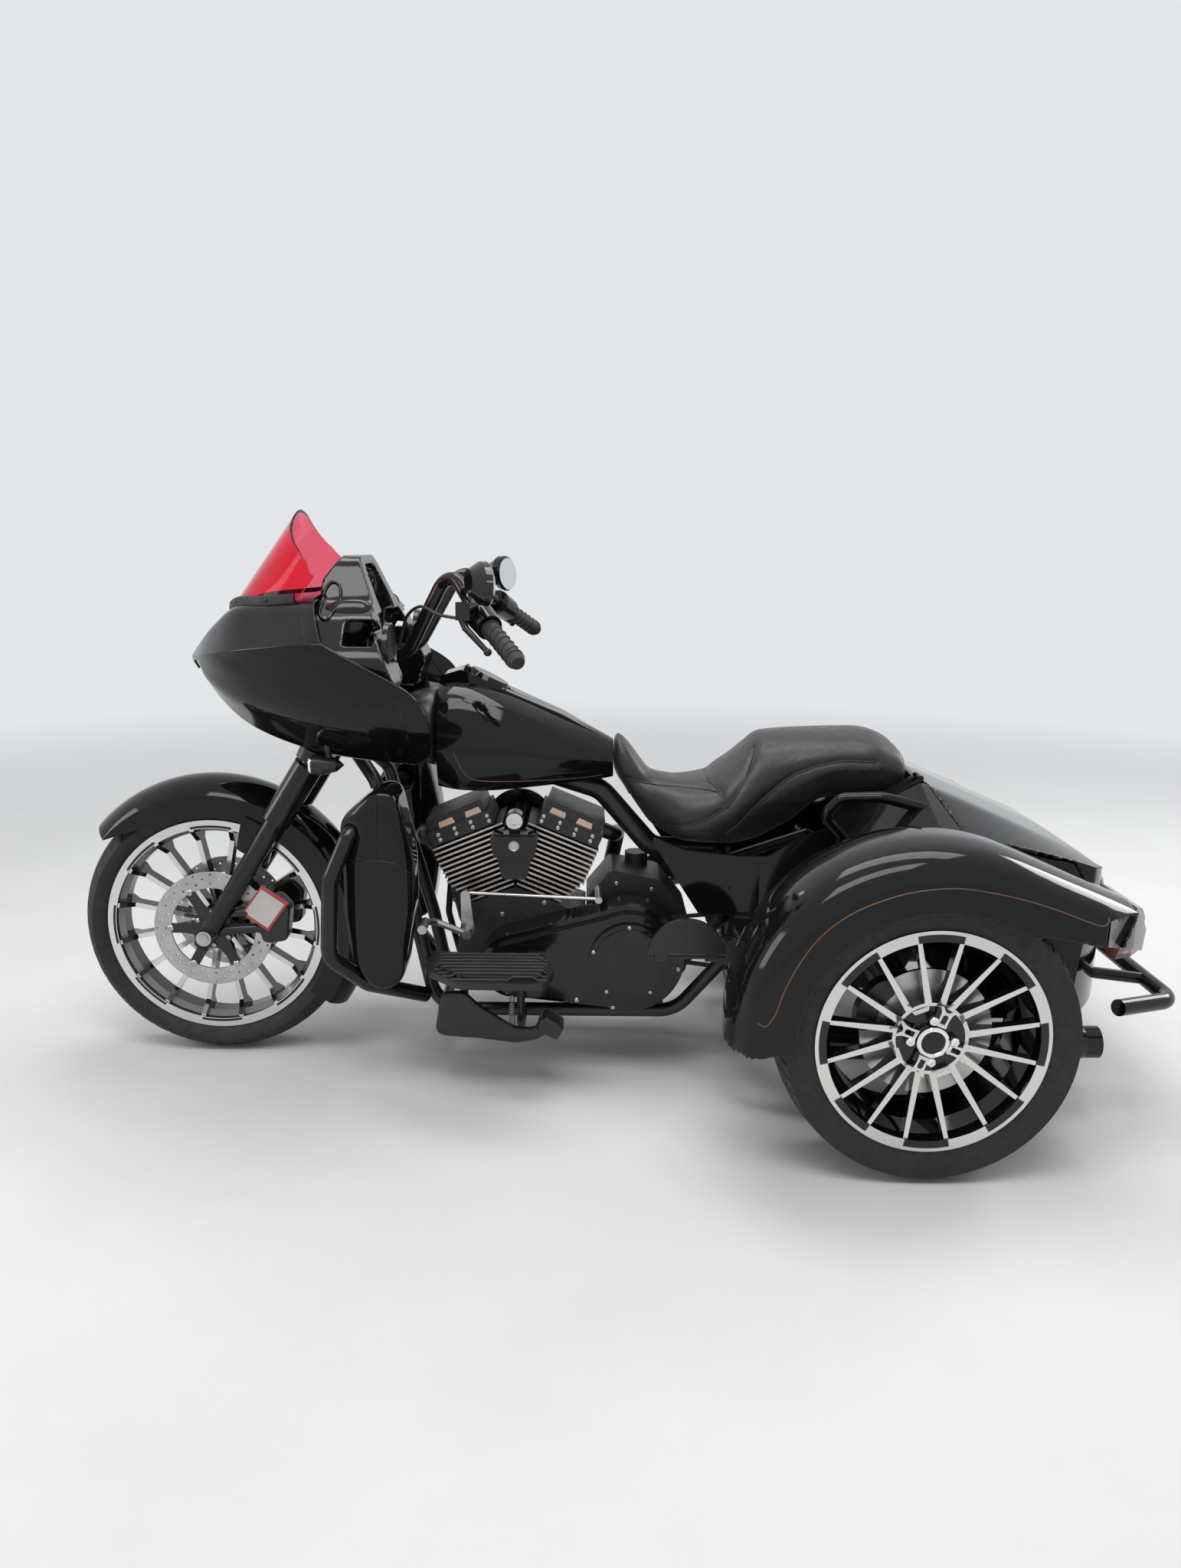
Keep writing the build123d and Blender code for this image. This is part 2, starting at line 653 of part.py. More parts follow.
def windshield():
    """Low tinted deflector, curved in plan, with a peaked top edge and rounded corners."""
    forms = []
    for inset in (0, 4):
        low = shield_section(1150, 672, 912, 206, inset)
        high = shield_section(1400, 600, 730, 206, inset)
        forms.append(loft([low, high]))
    edge = rounded(
        (-203, 1100), (-203, 1290, 30), (-120, 1352, 80), (0, 1396, 60), (120, 1352, 80), (203, 1290, 30),
        (203, 1100),
    )
    sheet = (forms[0] - forms[1]) & front_plate(edge, 540, 960)
    sheet -= Pos(0, 0, SEAT_GAP) * fairing_solid()
    return max(sheet.solids(), key=lambda solid: solid.volume)


# Tank, seat and side covers

TANK = [
    # x, bottom half width, bottom z, widest half, its z, shoulder half, its z, top z
    (-26, 36, 744, 60, 778, 42, 818, 834),
    (70, 72, 736, 106, 790, 78, 856, 884),
    (190, 104, 728, 142, 812, 108, 908, 940),
    (310, 118, 722, 152, 832, 116, 944, 984),
    (404, 108, 732, 142, 836, 100, 946, 982),
]


def tank_section(row):
    """Cross-section of the tank: flat bottom, bulging sides and an arched top."""
    x, low_y, low_z, wide_y, wide_z, top_y, top_z, crown_z = row
    plane = Plane(origin=(x, 0, 0), x_dir=(0, 1, 0), z_dir=(1, 0, 0))
    outline = (
        Line((-low_y, low_z), (low_y, low_z))
        + ThreePointArc((low_y, low_z), (wide_y, wide_z), (top_y, top_z))
        + ThreePointArc((top_y, top_z), (0, crown_z), (-top_y, top_z))
        + ThreePointArc((-top_y, top_z), (-wide_y, wide_z), (-low_y, low_z))
    )
    return plane * make_face(outline)


def tank_solid():
    """The tank's outer form."""
    return loft([tank_section(row) for row in TANK])


BACKBONE_R = 27
TUNNEL_HALF = BACKBONE_R + 6


def fuel_tank():
    """Stretched tank over the backbone tube, with a tunnel underneath."""
    tunnel = side_plate(rounded((-60, 650), (440, 650), (440, 868), (-60, 786)), -TUNNEL_HALF, TUNNEL_HALF)
    return tank_solid() - tunnel - lid_room()


DOOR_PLANE_X = 338
DOOR_PLANE_Z = 1006
DOOR_LENGTH = 112
DOOR_SLOPE = 27
DOOR_KNUCKLE_R = 4
DOOR_PIN_R = 2


def door_plane():
    """Plane of the filler lid: origin at its hinge edge, x to the rear and down the slope."""
    tilt = radians(DOOR_SLOPE)
    return Plane(
        origin=(DOOR_PLANE_X, 0, DOOR_PLANE_Z),
        x_dir=(-cos(tilt), 0, -sin(tilt)),
        z_dir=(-sin(tilt), 0, cos(tilt)),
    )


def door_point(along, above):
    """Point (x, z) on the centre line: a distance down the lid's slope and a height over its plane."""
    plane = door_plane()
    point = plane.origin + plane.x_dir * along + plane.z_dir * above
    return point.X, point.Z


def door_pin(radius, half):
    """A round bar on the filler lid's hinge axis."""
    x, z = door_point(-5, 5)
    return rod((x, -half, z), (x, half, z), radius)


def lid_room():
    """Clear space over the filler lid's seat."""
    oval = Pos(DOOR_LENGTH / 2, 0) * Ellipse(DOOR_LENGTH / 2 + 3, 47)
    return extrude(door_plane() * oval, amount=60)


def tank_console():
    """Raised spine along the top of the tank, with a seat and two hinge lugs for the filler lid."""
    rear_x = DOOR_PLANE_X - 108
    profile = rounded(
        (402, 900), (402, 996, 12), (350, 1012, 14), (rear_x, 956, 30), (100, 900, 200), (4, 846, 8), (4, 780)
    )
    plan = rounded(
        (410, -50, 20), (410, 50, 20), (330, 58, 40), (210, 50, 60), (2, 30, 8), (2, -30, 8), (210, -50, 60),
        (330, -58, 40),
    )
    console = side_plate(profile, -70, 70) & plan_plate(plan, 760, 1040)
    console -= Pos(0, 0, SEAT_GAP) * tank_solid()
    console -= lid_room()
    lug = rounded(
        door_point(-10, -9), door_point(-1, -9), (*door_point(-1, 10), 3), (*door_point(-10, 10), 3),
    )
    for side in (-1, 1):
        console += side_plate(lug, *sorted((side * 10, side * 15)))
    console += door_pin(DOOR_PIN_R, 14)
    return max(console.solids(), key=lambda solid: solid.volume)


def filler_lid():
    """Domed oval lid over the filler, with a hinge knuckle at its front edge."""
    oval = Pos(DOOR_LENGTH / 2, 0) * Ellipse(DOOR_LENGTH / 2, 44)
    lid = extrude(door_plane().offset(SEAT_GAP) * oval, amount=13, taper=28)
    leaf = rounded(door_point(-5, 1), door_point(9, 1), door_point(9, 9), door_point(-5, 9))
    lid += side_plate(leaf, -9, 9) + door_pin(DOOR_KNUCKLE_R, 9)
    return lid - door_pin(DOOR_PIN_R + FIT, 12)


SEAT = [
    # x, underside z, top z, half width
    (-30, 802, 838, 34),
    (-70, 694, 800, 62),
    (-120, 628, 750, 98),
    (-190, 598, 735, 160),
    (-262, 595, 745, 176),
    (-330, 592, 797, 170),
    (-390, 606, 856, 152),
    (-470, 650, 862, 144),
    (-540, 716, 863, 146),
    (-660, 716, 866, 145),
    (-737, 716, 832, 130),
]


def seat_section(row):
    """Cross-section of the seat: flat underside, full sides and a crowned top."""
    x, low_z, top_z, half = row
    height = top_z - low_z
    return tank_section(
        (x, half * 0.72, low_z, half, low_z + height * 0.45, half * 0.84, low_z + height * 0.84, top_z)
    )


def seat():
    """Two-up saddle: a deep rider's dish, a bolster and a flat pillion pad."""
    return loft([seat_section(row) for row in SEAT], ruled=True)


def side_covers():
    """Body panels under the seat that sweep out to the rear body, each on a peg from the frame."""
    rear_x = BODY_FRONT_X + SEAT_GAP
    outline = rounded(
        (-112, 618, 8), (-200, 586, 60), (-330, 580, 40), (-398, 584, 40), (-470, 640, 40), (rear_x, 672),
        (rear_x, 560), (-470, 470, 30), (-384, 446, 8), (-240, 424, 8),
    )
    strip = rounded((-100, 132), (-380, 198), (-560, 252), (-560, 240), (-380, 186), (-100, 120))
    panel = side_plate(outline, 90, 290) & plan_plate(strip, 400, 700)
    panel += rod((PIVOT_X, RAIL_Y + RAIL_R + SEAT_GAP, 500), (PIVOT_X, 182, 500), 9)
    return both_sides(panel)


# Engine


def on_bank(side, distance, offset=0):
    """Point (x, z) at a distance from the crank along a cylinder's axis; side +1 is the front one."""
    lean = radians(BANK)
    x = CRANK_X + side * (distance * sin(lean) + offset * cos(lean))
    z = CRANK_Z + distance * cos(lean) - offset * sin(lean)
    return x, z


def on_bank_out(side, distance, out):
    """Point (x, z) beside a cylinder's axis, away from the other cylinder."""
    lean = radians(BANK)
    x = CRANK_X + side * (distance * sin(lean) + out * cos(lean))
    return x, CRANK_Z + distance * cos(lean) - out * sin(lean)


def bank_plate(side, low, high, half_in, half_out, y_half):
    """Block on a cylinder's axis from one distance to another, half_in towards the other cylinder."""
    corners = [
        on_bank(side, low, -half_in), on_bank(side, high, -half_in),
        on_bank(side, high, half_out), on_bank(side, low, half_out),
    ]
    return side_plate(rounded(*corners), -y_half, y_half)


def cylinders():
    """Two finned barrels in a V, front and rear."""
    fins_end = DECK + FIN_COUNT * FIN_PITCH
    both = []
    for side in (1, -1):
        x0, z0 = on_bank(side, DECK)
        x1, z1 = on_bank(side, fins_end)
        barrel = rod((x0, 0, z0), (x1, 0, z1), CYLINDER_R)
        for index in range(FIN_COUNT):
            share = min(1, index / 5)
            half = FIN_HALF_LOW + (FIN_HALF_TOP - FIN_HALF_LOW) * share
            low = DECK + 4 + index * FIN_PITCH
            barrel += bank_plate(side, low, low + FIN_T, half, half, 88)
        middle = rounded(
            (CRANK_X + side * 3, 300), (CRANK_X + side * 400, 300),
            (CRANK_X + side * 400, 800), (CRANK_X + side * 3, 800),
        )
        barrel = barrel & side_plate(middle, -120, 120)
        both += barrel.solids()
    return Compound(both)


def pushrod_boss(side, start, gap):
    """Boss on the right of a head that its pushrod tubes run up to, grown by gap."""
    corners = [
        on_bank(side, start - gap, -24), on_bank(side, start + 26, -24),
        on_bank(side, start + 26, 36), on_bank(side, start - gap, 36),
    ]
    return side_plate(rounded(*corners), -112, -80)


def rocker_covers():
    """Head and rocker cover on top of each barrel."""
    start = DECK + FIN_COUNT * FIN_PITCH + SEAT_GAP
    both = []
    for side in (1, -1):
        head = bank_plate(side, start, start + HEAD_H * 0.55, 74, 90, 86)
        head += pushrod_boss(side, start, 0)
        cover = bank_plate(side, start + HEAD_H * 0.55, start + HEAD_H, 66, 82, 80)
        both += (head + cover).solids()
    return Compound(both)


def crankcase():
    """Crankcase halves with sloped decks, oil pan and the round cam cover on the right."""
    lean = radians(BANK)
    deck = DECK - SEAT_GAP
    corners = [
        on_bank(1, deck, 80), (CRANK_X, CRANK_Z + deck / cos(lean)),
        on_bank(-1, deck, 80), (40, 400), (40, 196, 20), (330, 196, 40), (366, 300, 40),
    ]
    case = side_plate(rounded(*corners), -92, CRANKCASE_LEFT)
    case += side_plate(cam_face(0), -126, -92)
    return case


def cam_face(gap):
    """Outline of the round cam cover, grown by gap."""
    return Pos(CRANK_X - 12, CRANK_Z + 6) * Ellipse(104 + gap, 88 + gap)


def transmission():
    """Gearbox case behind the engine, with its top cover and filler cap."""
    profile = rounded(
        (38, 196, 10), (38, 430, 16), (-24, 506, 20), (-150, 480, 24), (-222, 390, 40), (-222, 240, 30),
        (-180, 196, 20)
    )
    case = side_plate(profile, -104, GEARBOX_LEFT)
    case += rod((-92, -56, 480), (-92, -56, 524), 30)
    return case


def primary_cover():
    """Chain case on the left: two round ends joined by tangent sides, with an inspection boss."""
    front = Pos(215, 294) * Circle(82)
    rear = Pos(-67, 315) * Circle(DERBY_RING_R)
    bridge = make_face(Polyline((225, 376), (-62, 453), (-90, 179), (205, 212), close=True))
    case = side_plate(front + rear + bridge, 97, 186)
    raised = Pos(215, 294) * Circle(66)
    raised += make_face(Polyline((221, 360), (-58, 434), (-84, 198), (207, 228), close=True))
    raised += Pos(-67, 315) * Circle(DERBY_RING_R - 18)
    case += side_plate(raised, 186, 204)
    case += side_plate(Pos(196, 286) * Ellipse(54, 30), 204, 210)
    return case


DERBY_RING_R = 138
DERBY_R = 98


def derby_cover():
    """Round clutch cover on the primary case."""
    disc = side_plate(Pos(-67, 315) * Circle(DERBY_R), 204, 216)
    disc += side_plate(Pos(-67, 315) * Circle(DERBY_R - 12), 216, 221)
    return disc


def horn_cover():
    """Shield between the cylinders on the left, below a round boss."""
    x = CRANK_X
    shield = rounded(
        (x - 56, 616, 8), (x - 50, 584, 8), (x - 30, 500, 8), (x + 30, 500, 8), (x + 50, 584, 8),
        (x + 56, 616, 8)
    )
    cover = side_plate(shield, 90, 132)
    cover += side_plate(rounded((x - 50, 560), (x - 60, 612, 8), (x + 60, 612, 8), (x + 50, 560)), 100, 148)
    cover += rod((x, 88, 648), (x, 128, 648), 23)
    cover += side_plate(rounded((x - 14, 600), (x + 14, 600), (x + 14, 650), (x - 14, 650)), 92, 112)
    return cover


def air_cleaner():
    """Round air filter housing on the right of the V, on its intake neck."""
    y = -89
    case = rod((CRANK_X, y - 22, 590), (CRANK_X, y - 84, 590), 88, 78)
    case += rod((CRANK_X, -30, 590), (CRANK_X, y - 22, 590), 34)
    keep_out = rounded((CRANK_X - 60, 400), (CRANK_X + 60, 400), (CRANK_X + 60, 800), (CRANK_X - 60, 800))
    v_room = side_plate(keep_out, -88, 90)
    neck = case & v_room
    shell = case - v_room
    for side in (1, -1):
        neck -= bank_plate(side, DECK - 10, 420, FIN_HALF_TOP + 1, 300, 100)
    return max((shell + neck).solids(), key=lambda solid: solid.volume)


def pushrod_tubes():
    """Slim tubes up the right of each barrel, from the cam cover to the heads."""
    tubes = []
    start = DECK + FIN_COUNT * FIN_PITCH + SEAT_GAP
    cam_top = side_plate(cam_face(SEAT_GAP), -130, -92)
    for side in (1, -1):
        for shift in (-16, 16):
            foot_x = CRANK_X + side * 34 + shift
            top_x, top_z = on_bank(side, start + 8, shift + 6)
            stick = rod((foot_x, -106, CRANK_Z + 60), (top_x, -100, top_z), 9)
            stick -= cam_top + pushrod_boss(side, start, SEAT_GAP)
            tubes.append(max(stick.solids(), key=lambda solid: solid.volume))
    return Compound(tubes)


# Frame and running gear

PIVOT_X = -318
PIVOT_Z = 330
PIVOT_R = 14
BODY_FRONT_X = -548
RAIL_Y = 118
RAIL_Z = 152
RAIL_R = 17
HEAD_R = 34
DOWNTUBE_X = 452
DOWNTUBE_Z = 330
RAIL_FRONT_X = 416
RAIL_BEND_R = 90


def rail_bend(angle):
    """Point (x, z) on the lower rail's front bend, at an angle up from its level rear end."""
    down = Vector(RAIL_FRONT_X - DOWNTUBE_X, RAIL_Z - DOWNTUBE_Z)
    turn = down.get_angle(Vector(-1, 0))
    centre_x = RAIL_FRONT_X - RAIL_BEND_R * tan(radians(turn / 2))
    x = centre_x + RAIL_BEND_R * sin(radians(angle))
    return x, RAIL_Z + RAIL_BEND_R * (1 - cos(radians(angle)))


def frame():
    """Welded frame: steering head, backbone, twin downtubes, lower rails and rear uprights."""
    low_z = LOWER_YOKE_Z + YOKE_T / 2 + 6
    high_z = UPPER_YOKE_Z - YOKE_T / 2 - 4
    mid_z = (low_z + high_z) / 2
    cage = rod((steer_x(low_z), 0, low_z), (steer_x(high_z), 0, high_z), HEAD_R)
    spine = [(steer_x(mid_z) - 10, 0, mid_z), (430, 0, 838), (4, 0, 704), (-128, 0, 552), (-330, 0, 548)]
    cage += tube(spine, BACKBONE_R, [60, 80, 60])
    for side in (-1, 1):
        y = side * RAIL_Y
        cage += tube(
            [
                (steer_x(low_z) - 24, side * 10, low_z + 30), (560, y * 0.8, 740),
                (DOWNTUBE_X, y, DOWNTUBE_Z),
                (RAIL_FRONT_X, y, RAIL_Z), (-190, y, RAIL_Z), (PIVOT_X, y, 300), (PIVOT_X, y, 540),
                (-300, side * 20, 552),
            ],
            RAIL_R, [60, 120, RAIL_BEND_R, 90, 60, 40],
        )
        cage += rod((PIVOT_X, y, 480), (BODY_FRONT_X - 10, y, 563), 14)
        cage += rod((PIVOT_X, side * 100, PIVOT_Z), (PIVOT_X, side * 137, PIVOT_Z), 34)
    cage += rod((-150, -RAIL_Y, RAIL_Z), (-150, RAIL_Y, RAIL_Z), 14)
    cage += rod((400, -RAIL_Y, RAIL_Z), (400, RAIL_Y, RAIL_Z), 14)
    cage -= Pos(BODY_FRONT_X - 50 + SEAT_GAP, 0, 560) * Box(100, 300, 100)
    cage -= rod((PIVOT_X, -150, PIVOT_Z), (PIVOT_X, 150, PIVOT_Z), PIVOT_R + FIT)
    cage -= rod((steer_x(700), 0, 700), (steer_x(1100), 0, 1100), STEM_R + FIT)
    return max(cage.solids(), key=lambda solid: solid.volume)


GUARD_R = 19
GUARD_ROUTE = [
    # x, y, z
    (442, 136, 196), (560, 272, 280), (636, 342, 372), (626, 342, 560), (584, 316, 664), (540, 220, 690),
    (538, 104, 690),
]


def guard_tube(radius):
    """One side of the crash bar at a given radius."""
    return tube(GUARD_ROUTE, radius, [60, 60, 60, 50, 40])


def engine_guard():
    """Bent crash bar in front of the footboards, from the lower rails out and up to the downtubes."""
    cage = frame()
    bar = guard_tube(GUARD_R) - cage
    return both_sides(max(bar.solids(), key=lambda solid: solid.volume))


def lower_fairings():
    """Leg shields between guard and downtube, each a shell with a storage pod."""
    outline = rounded(
        (612, 690, 50), (524, 768, 30), (474, 764, 12), (430, 548, 12), (468, 300, 30), (530, 268, 40),
        (592, 350, 40),
        (614, 470, 60),
    )
    plan = rounded(
        (624, 200, 20), (624, 300, 40), (560, 330, 40), (440, 330, 20), (440, 196, 10), (500, 178, 20),
    )
    pod = side_plate(outline, 150, 334) & plan_plate(plan, 240, 790)
    scoop = rounded((640, 330), (640, 640), (596, 620, 20), (580, 500, 30), (572, 380, 20))
    pod -= side_plate(scoop, 214, 300)
    pod -= guard_tube(GUARD_R + SEAT_GAP)
    pod = max(pod.solids(), key=lambda solid: solid.volume)
    return Compound([pod, mirror(pod, about=Plane.XZ)])


def footboards():
    """Rider's swept footboards on brackets from the lower rails."""
    plan = rounded(
        (412, 214, 10), (418, 330, 60), (330, 418, 60), (130, 424, 20), (112, 330, 20), (140, 236, 10),
    )
    board = plan_plate(plan, 326, 342)
    pad = rounded(
        (384, 240, 20), (388, 326, 50), (322, 396, 50), (146, 402, 16), (134, 330, 16), (156, 252, 10),
    )
    board += plan_plate(pad, 342, 350)
    for x in (334, 196):
        board += tube([(x, 232, 330), (x, 232, RAIL_Z), (x, RAIL_Y + RAIL_R + SEAT_GAP, RAIL_Z)], 10, [30])
        board += rod((x, 232, 318), (x, 232, 330), 15)
    return both_sides(board)


EXHAUST_Y = 170
EXHAUST_Z = 215
MUFFLER_Y = 322
MUFFLER_Z = 168
MUFFLER_R = 46
MUFFLER_X = -421
CROSSOVER_X = -352


def exhaust_pipes():
    """Front and rear headers on the right, a collector and a crossover to the left muffler."""
    port = DECK + FIN_COUNT * FIN_PITCH + 22
    muffler_front = MUFFLER_X + SEAT_GAP
    y = -EXHAUST_Y
    fx, fz = on_bank_out(1, port, 90 + SEAT_GAP)
    gx, gz = on_bank_out(1, port, 134)
    front = tube(
        [
            (fx, -40, fz), (gx, -40, gz), (446, -114, 520), (396, y + 8, 420), (366, y, 290),
            (290, y, EXHAUST_Z),
            (-190, y, EXHAUST_Z), (-300, -MUFFLER_Y, MUFFLER_Z), (muffler_front, -MUFFLER_Y, MUFFLER_Z),
        ],
        22, [24, 50, 60, 60, 60, 70, 60],
    )
    fx, fz = on_bank_out(-1, port, 90 + SEAT_GAP)
    gx, gz = on_bank_out(-1, port, 128)
    rear = tube(
        [
            (fx, -40, fz), (gx, -40, gz), (-44, -124, 560), (-20, y - 4, 420), (-60, y - 4, 290),
            (-150, y, EXHAUST_Z),
        ],
        20, [20, 40, 60, 60],
    )
    cross = tube(
        [
            (CROSSOVER_X, -MUFFLER_Y, MUFFLER_Z), (CROSSOVER_X, MUFFLER_Y, MUFFLER_Z),
            (muffler_front, MUFFLER_Y, MUFFLER_Z),
        ],
        20, [50],
    )
    return front + rear + cross


def mufflers():
    """Two long mufflers under the rear body, each with an open straight tip."""
    outline = [(0, 0), (0, 26), (40, MUFFLER_R), (700, MUFFLER_R), (724, 38), (760, 38), (760, 0)]
    can = turned_along_x(outline, MUFFLER_X, MUFFLER_Y, MUFFLER_Z)
    can -= rod((-1100, MUFFLER_Y, MUFFLER_Z), (-1200, MUFFLER_Y, MUFFLER_Z), 32)
    return both_sides(can)


def swing_axle():
    """Rear axle assembly: swinging arms, axle tubes, final-drive housing and stub axles."""
    x, z = rear_axle_x, rear_axle_z
    hub_back = rear_disc_y - REAR_DISC_T - 2
    axle = rod((x, -hub_back, z), (x, hub_back, z), 44)
    axle += rod((x, -110, z), (x, BELT_Y - 14, z), 92)
    stub = rear_wheel_y + REAR_RIM_W / 2 - 44
    axle += rod((x, -stub, z), (x, stub, z), REAR_AXLE_R)
    for side in (-1, 1):
        arm_y = side * (137 + SEAT_GAP)
        axle += rod((PIVOT_X, arm_y, PIVOT_Z), (PIVOT_X, side * 184, PIVOT_Z), 32)
        bend = (PIVOT_X - 120, side * 168, PIVOT_Z - 4)
        arm = [(PIVOT_X - 6, side * 162, PIVOT_Z), bend, (x, side * 210, z)]
        axle += tube(arm, 24, [160])
        axle += rear_caliper(side)
    axle += rod((PIVOT_X, -186, PIVOT_Z), (PIVOT_X, 186, PIVOT_Z), PIVOT_R)
    return axle


CALIPER_ANGLE = 28
CALIPER_R = 128


def rear_caliper(side):
    """Caliper astride the rear rotor, on a plate from the end of the axle tube."""
    x, z = rear_axle_x, rear_axle_z
    angle = radians(CALIPER_ANGLE)
    mid = Pos(x + CALIPER_R * cos(angle), z + CALIPER_R * sin(angle))
    body_face = mid * Rot(0, 0, CALIPER_ANGLE + 90) * Ellipse(62, 30)
    plate_face = make_hull((Pos(x, z) * Circle(50)).edges() + (mid * Circle(26)).edges())
    inner = rear_disc_y - REAR_DISC_T
    body = side_plate(body_face, inner - 16, rear_disc_y + 8)
    body -= side_plate(Pos(x, z) * Circle(REAR_DISC_R + 4), inner - 2, rear_disc_y + 2)
    body -= side_plate(Pos(x, z) * Circle(CALIPER_R - 16), inner - 6, rear_disc_y + 40)
    body += side_plate(plate_face, inner - 26, inner - 14)
    return body if side > 0 else mirror(body, about=Plane.XZ)


BELT_Y = 78


def drive_belt():
    """Toothed belt loop, its gearbox sprocket and the axle pulley, as one fixed loop."""
    front_r, rear_r = 52, 112
    fx, fz = -150, 330
    x, z = rear_axle_x, rear_axle_z
    loop = make_hull((Pos(fx, fz) * Circle(front_r + 4)).edges() + (Pos(x, z) * Circle(rear_r + 4)).edges())
    inner = make_hull((Pos(fx, fz) * Circle(front_r)).edges() + (Pos(x, z) * Circle(rear_r)).edges())
    belt = loop - inner
    belt += Pos(fx, fz) * (Circle(front_r) - Circle(20))
    belt += Pos(x, z) * (Circle(rear_r) - Circle(44 + SEAT_GAP))
    return side_plate(belt, BELT_Y - 11, BELT_Y + 11)


SHIFT_PIVOT_X = 330
SHIFT_PIVOT_Z = 380
SHIFT_SHAFT_X = 8
SHIFT_SHAFT_Z = 456


def shift_lever():
    """Shift lever on a peg in the crankcase, with its rod to the gearbox's shaft."""
    x, z = SHIFT_PIVOT_X, SHIFT_PIVOT_Z
    top_x, top_z = x + 6, 470
    arm = make_hull((Pos(x, z) * Circle(16)).edges() + (Pos(top_x, top_z) * Circle(11)).edges())
    lever = rod((x, 206, z), (x, CRANKCASE_LEFT + SEAT_GAP, z), 12)
    lever += side_plate(arm, 156, 166)
    lever += tube([(x, 196, z), (404, 214, 418), (424, 246, 426)], 8, [20])
    lever += rod((424, 240, 426), (424, 300, 426), 11)
    lever += rod((top_x, 142, top_z), (top_x, 160, top_z), 8)
    lever += rod((top_x, 148, top_z), (SHIFT_SHAFT_X, 148, SHIFT_SHAFT_Z), 5)
    shaft_end = (SHIFT_SHAFT_X, GEARBOX_LEFT + SEAT_GAP, SHIFT_SHAFT_Z)
    return lever + rod((SHIFT_SHAFT_X, 158, SHIFT_SHAFT_Z), shaft_end, 9)


PEDAL_ANGLE = 30


def brake_pedal():
    """Rear brake pedal ahead of the right footboard, on a stub on the lower rail's bend."""
    x, z = rail_bend(PEDAL_ANGLE)
    pedal = rod((x, -RAIL_Y - RAIL_R - SEAT_GAP, z), (x, -212, z), 12)
    pedal += tube([(x, -204, z), (x + 36, -210, 300), (x + 30, -252, 416)], 9, [40])
    pedal += Pos(x + 25, -268, 414) * Rot(0, -24, 0) * Box(50, 64, 12)
    return pedal


def parking_pedal():
    """Foot pedal of the parking brake, hanging below the left footboard."""
    x, z = rail_bend(PEDAL_ANGLE)
    arm = rounded(
        (386, 262, 10), (330, 268, 16), (300, 236, 20), (212, 176, 30), (150, 172, 10), (120, 196, 8),
        (104, 178, 8),
        (150, 140, 14), (204, 130, 30), (300, 142, 60), (x - 8, z - 18, 12), (x + 16, z - 2, 12),
    )
    pedal = side_plate(arm, 262, 284)
    pad = rounded((138, 216, 6), (86, 186, 6), (104, 148, 6), (158, 178, 6))
    pedal += side_plate(pad, 240, 312)
    pedal += rod((x, RAIL_Y + RAIL_R + SEAT_GAP, z), (x, 284, z), 13)
    return pedal


BOARD_PIVOT_X = -199
BOARD_Z = 366
BOARD_Y = 300


def pillion_brackets():
    """Arms from the frame's rear uprights that carry the pillion boards' hinge pins."""
    arm = rod((BOARD_PIVOT_X - 92, BOARD_Y, BOARD_Z), (BOARD_PIVOT_X + 92, BOARD_Y, BOARD_Z), 6)
    route = [(BOARD_PIVOT_X, BOARD_Y - 6, BOARD_Z), (-236, 236, 396), (PIVOT_X + 8, RAIL_Y + RAIL_R - 4, 404)]
    arm += tube(route, 12, [40])
    arm -= rod((PIVOT_X, RAIL_Y, 300), (PIVOT_X, RAIL_Y, 540), RAIL_R + SEAT_GAP)
    return arm


def pillion_board(side):
    """Half-oval pillion board folded up against the body, in two hinge knuckles on its pin."""
    half = 92
    z = BOARD_Z
    front, rear = (BOARD_PIVOT_X + half, z + 12), (BOARD_PIVOT_X - half, z + 12)
    shape = Polyline(front, rear) + ThreePointArc(rear, (BOARD_PIVOT_X, z + 96), front)
    board = side_plate(make_face(shape), BOARD_Y + 2, BOARD_Y + 16)
    for shift in (-60, 60):
        x = BOARD_PIVOT_X + shift
        board += rod((x - 15, BOARD_Y, z), (x + 15, BOARD_Y, z), 12)
        board += Pos(x, BOARD_Y + 7, z + 10) * Box(30, 12, 16)
    board -= rod((BOARD_PIVOT_X - 120, BOARD_Y, z), (BOARD_PIVOT_X + 120, BOARD_Y, z), 6 + FIT)
    return board if side > 0 else mirror(board, about=Plane.XZ)


# Rear body

HINGE_X = -747
HINGE_Y = 196
HINGE_Z = 784

TUB_FLOOR_Z = 262
TAIL_TO_BUMPER = 85
TAIL_BOW = 214
TUB_WALL_X = -822

TUB = [
    # x, top z, ridge y, ridge z, edge y, edge z
    (BODY_FRONT_X, 668, 210, 656, 392, 624),
    (-745, 784, 225, 775, 390, 712),
    (-913, 714, 225, 707, 381, 667),
    (-1090, 636, 225, 629, 350, 618),
    (-1262, 560, 216, 554, 320, 546),
]

TUB_SIDE = [
    # x, z, corner radius
    (BODY_FRONT_X, 452, 0), (BODY_FRONT_X, 700, 40), (-600, 830, 0), (-1090, 830, 0), (-1130, 616, 16),
    (-1160, 598, 40), (-1246, 486, 60), (-1240, 330, 60), (-1180, TUB_FLOOR_Z, 40),
    (TUB_WALL_X, TUB_FLOOR_Z, 40),
    (TUB_WALL_X, 420, 20), (-770, 452, 20),
]


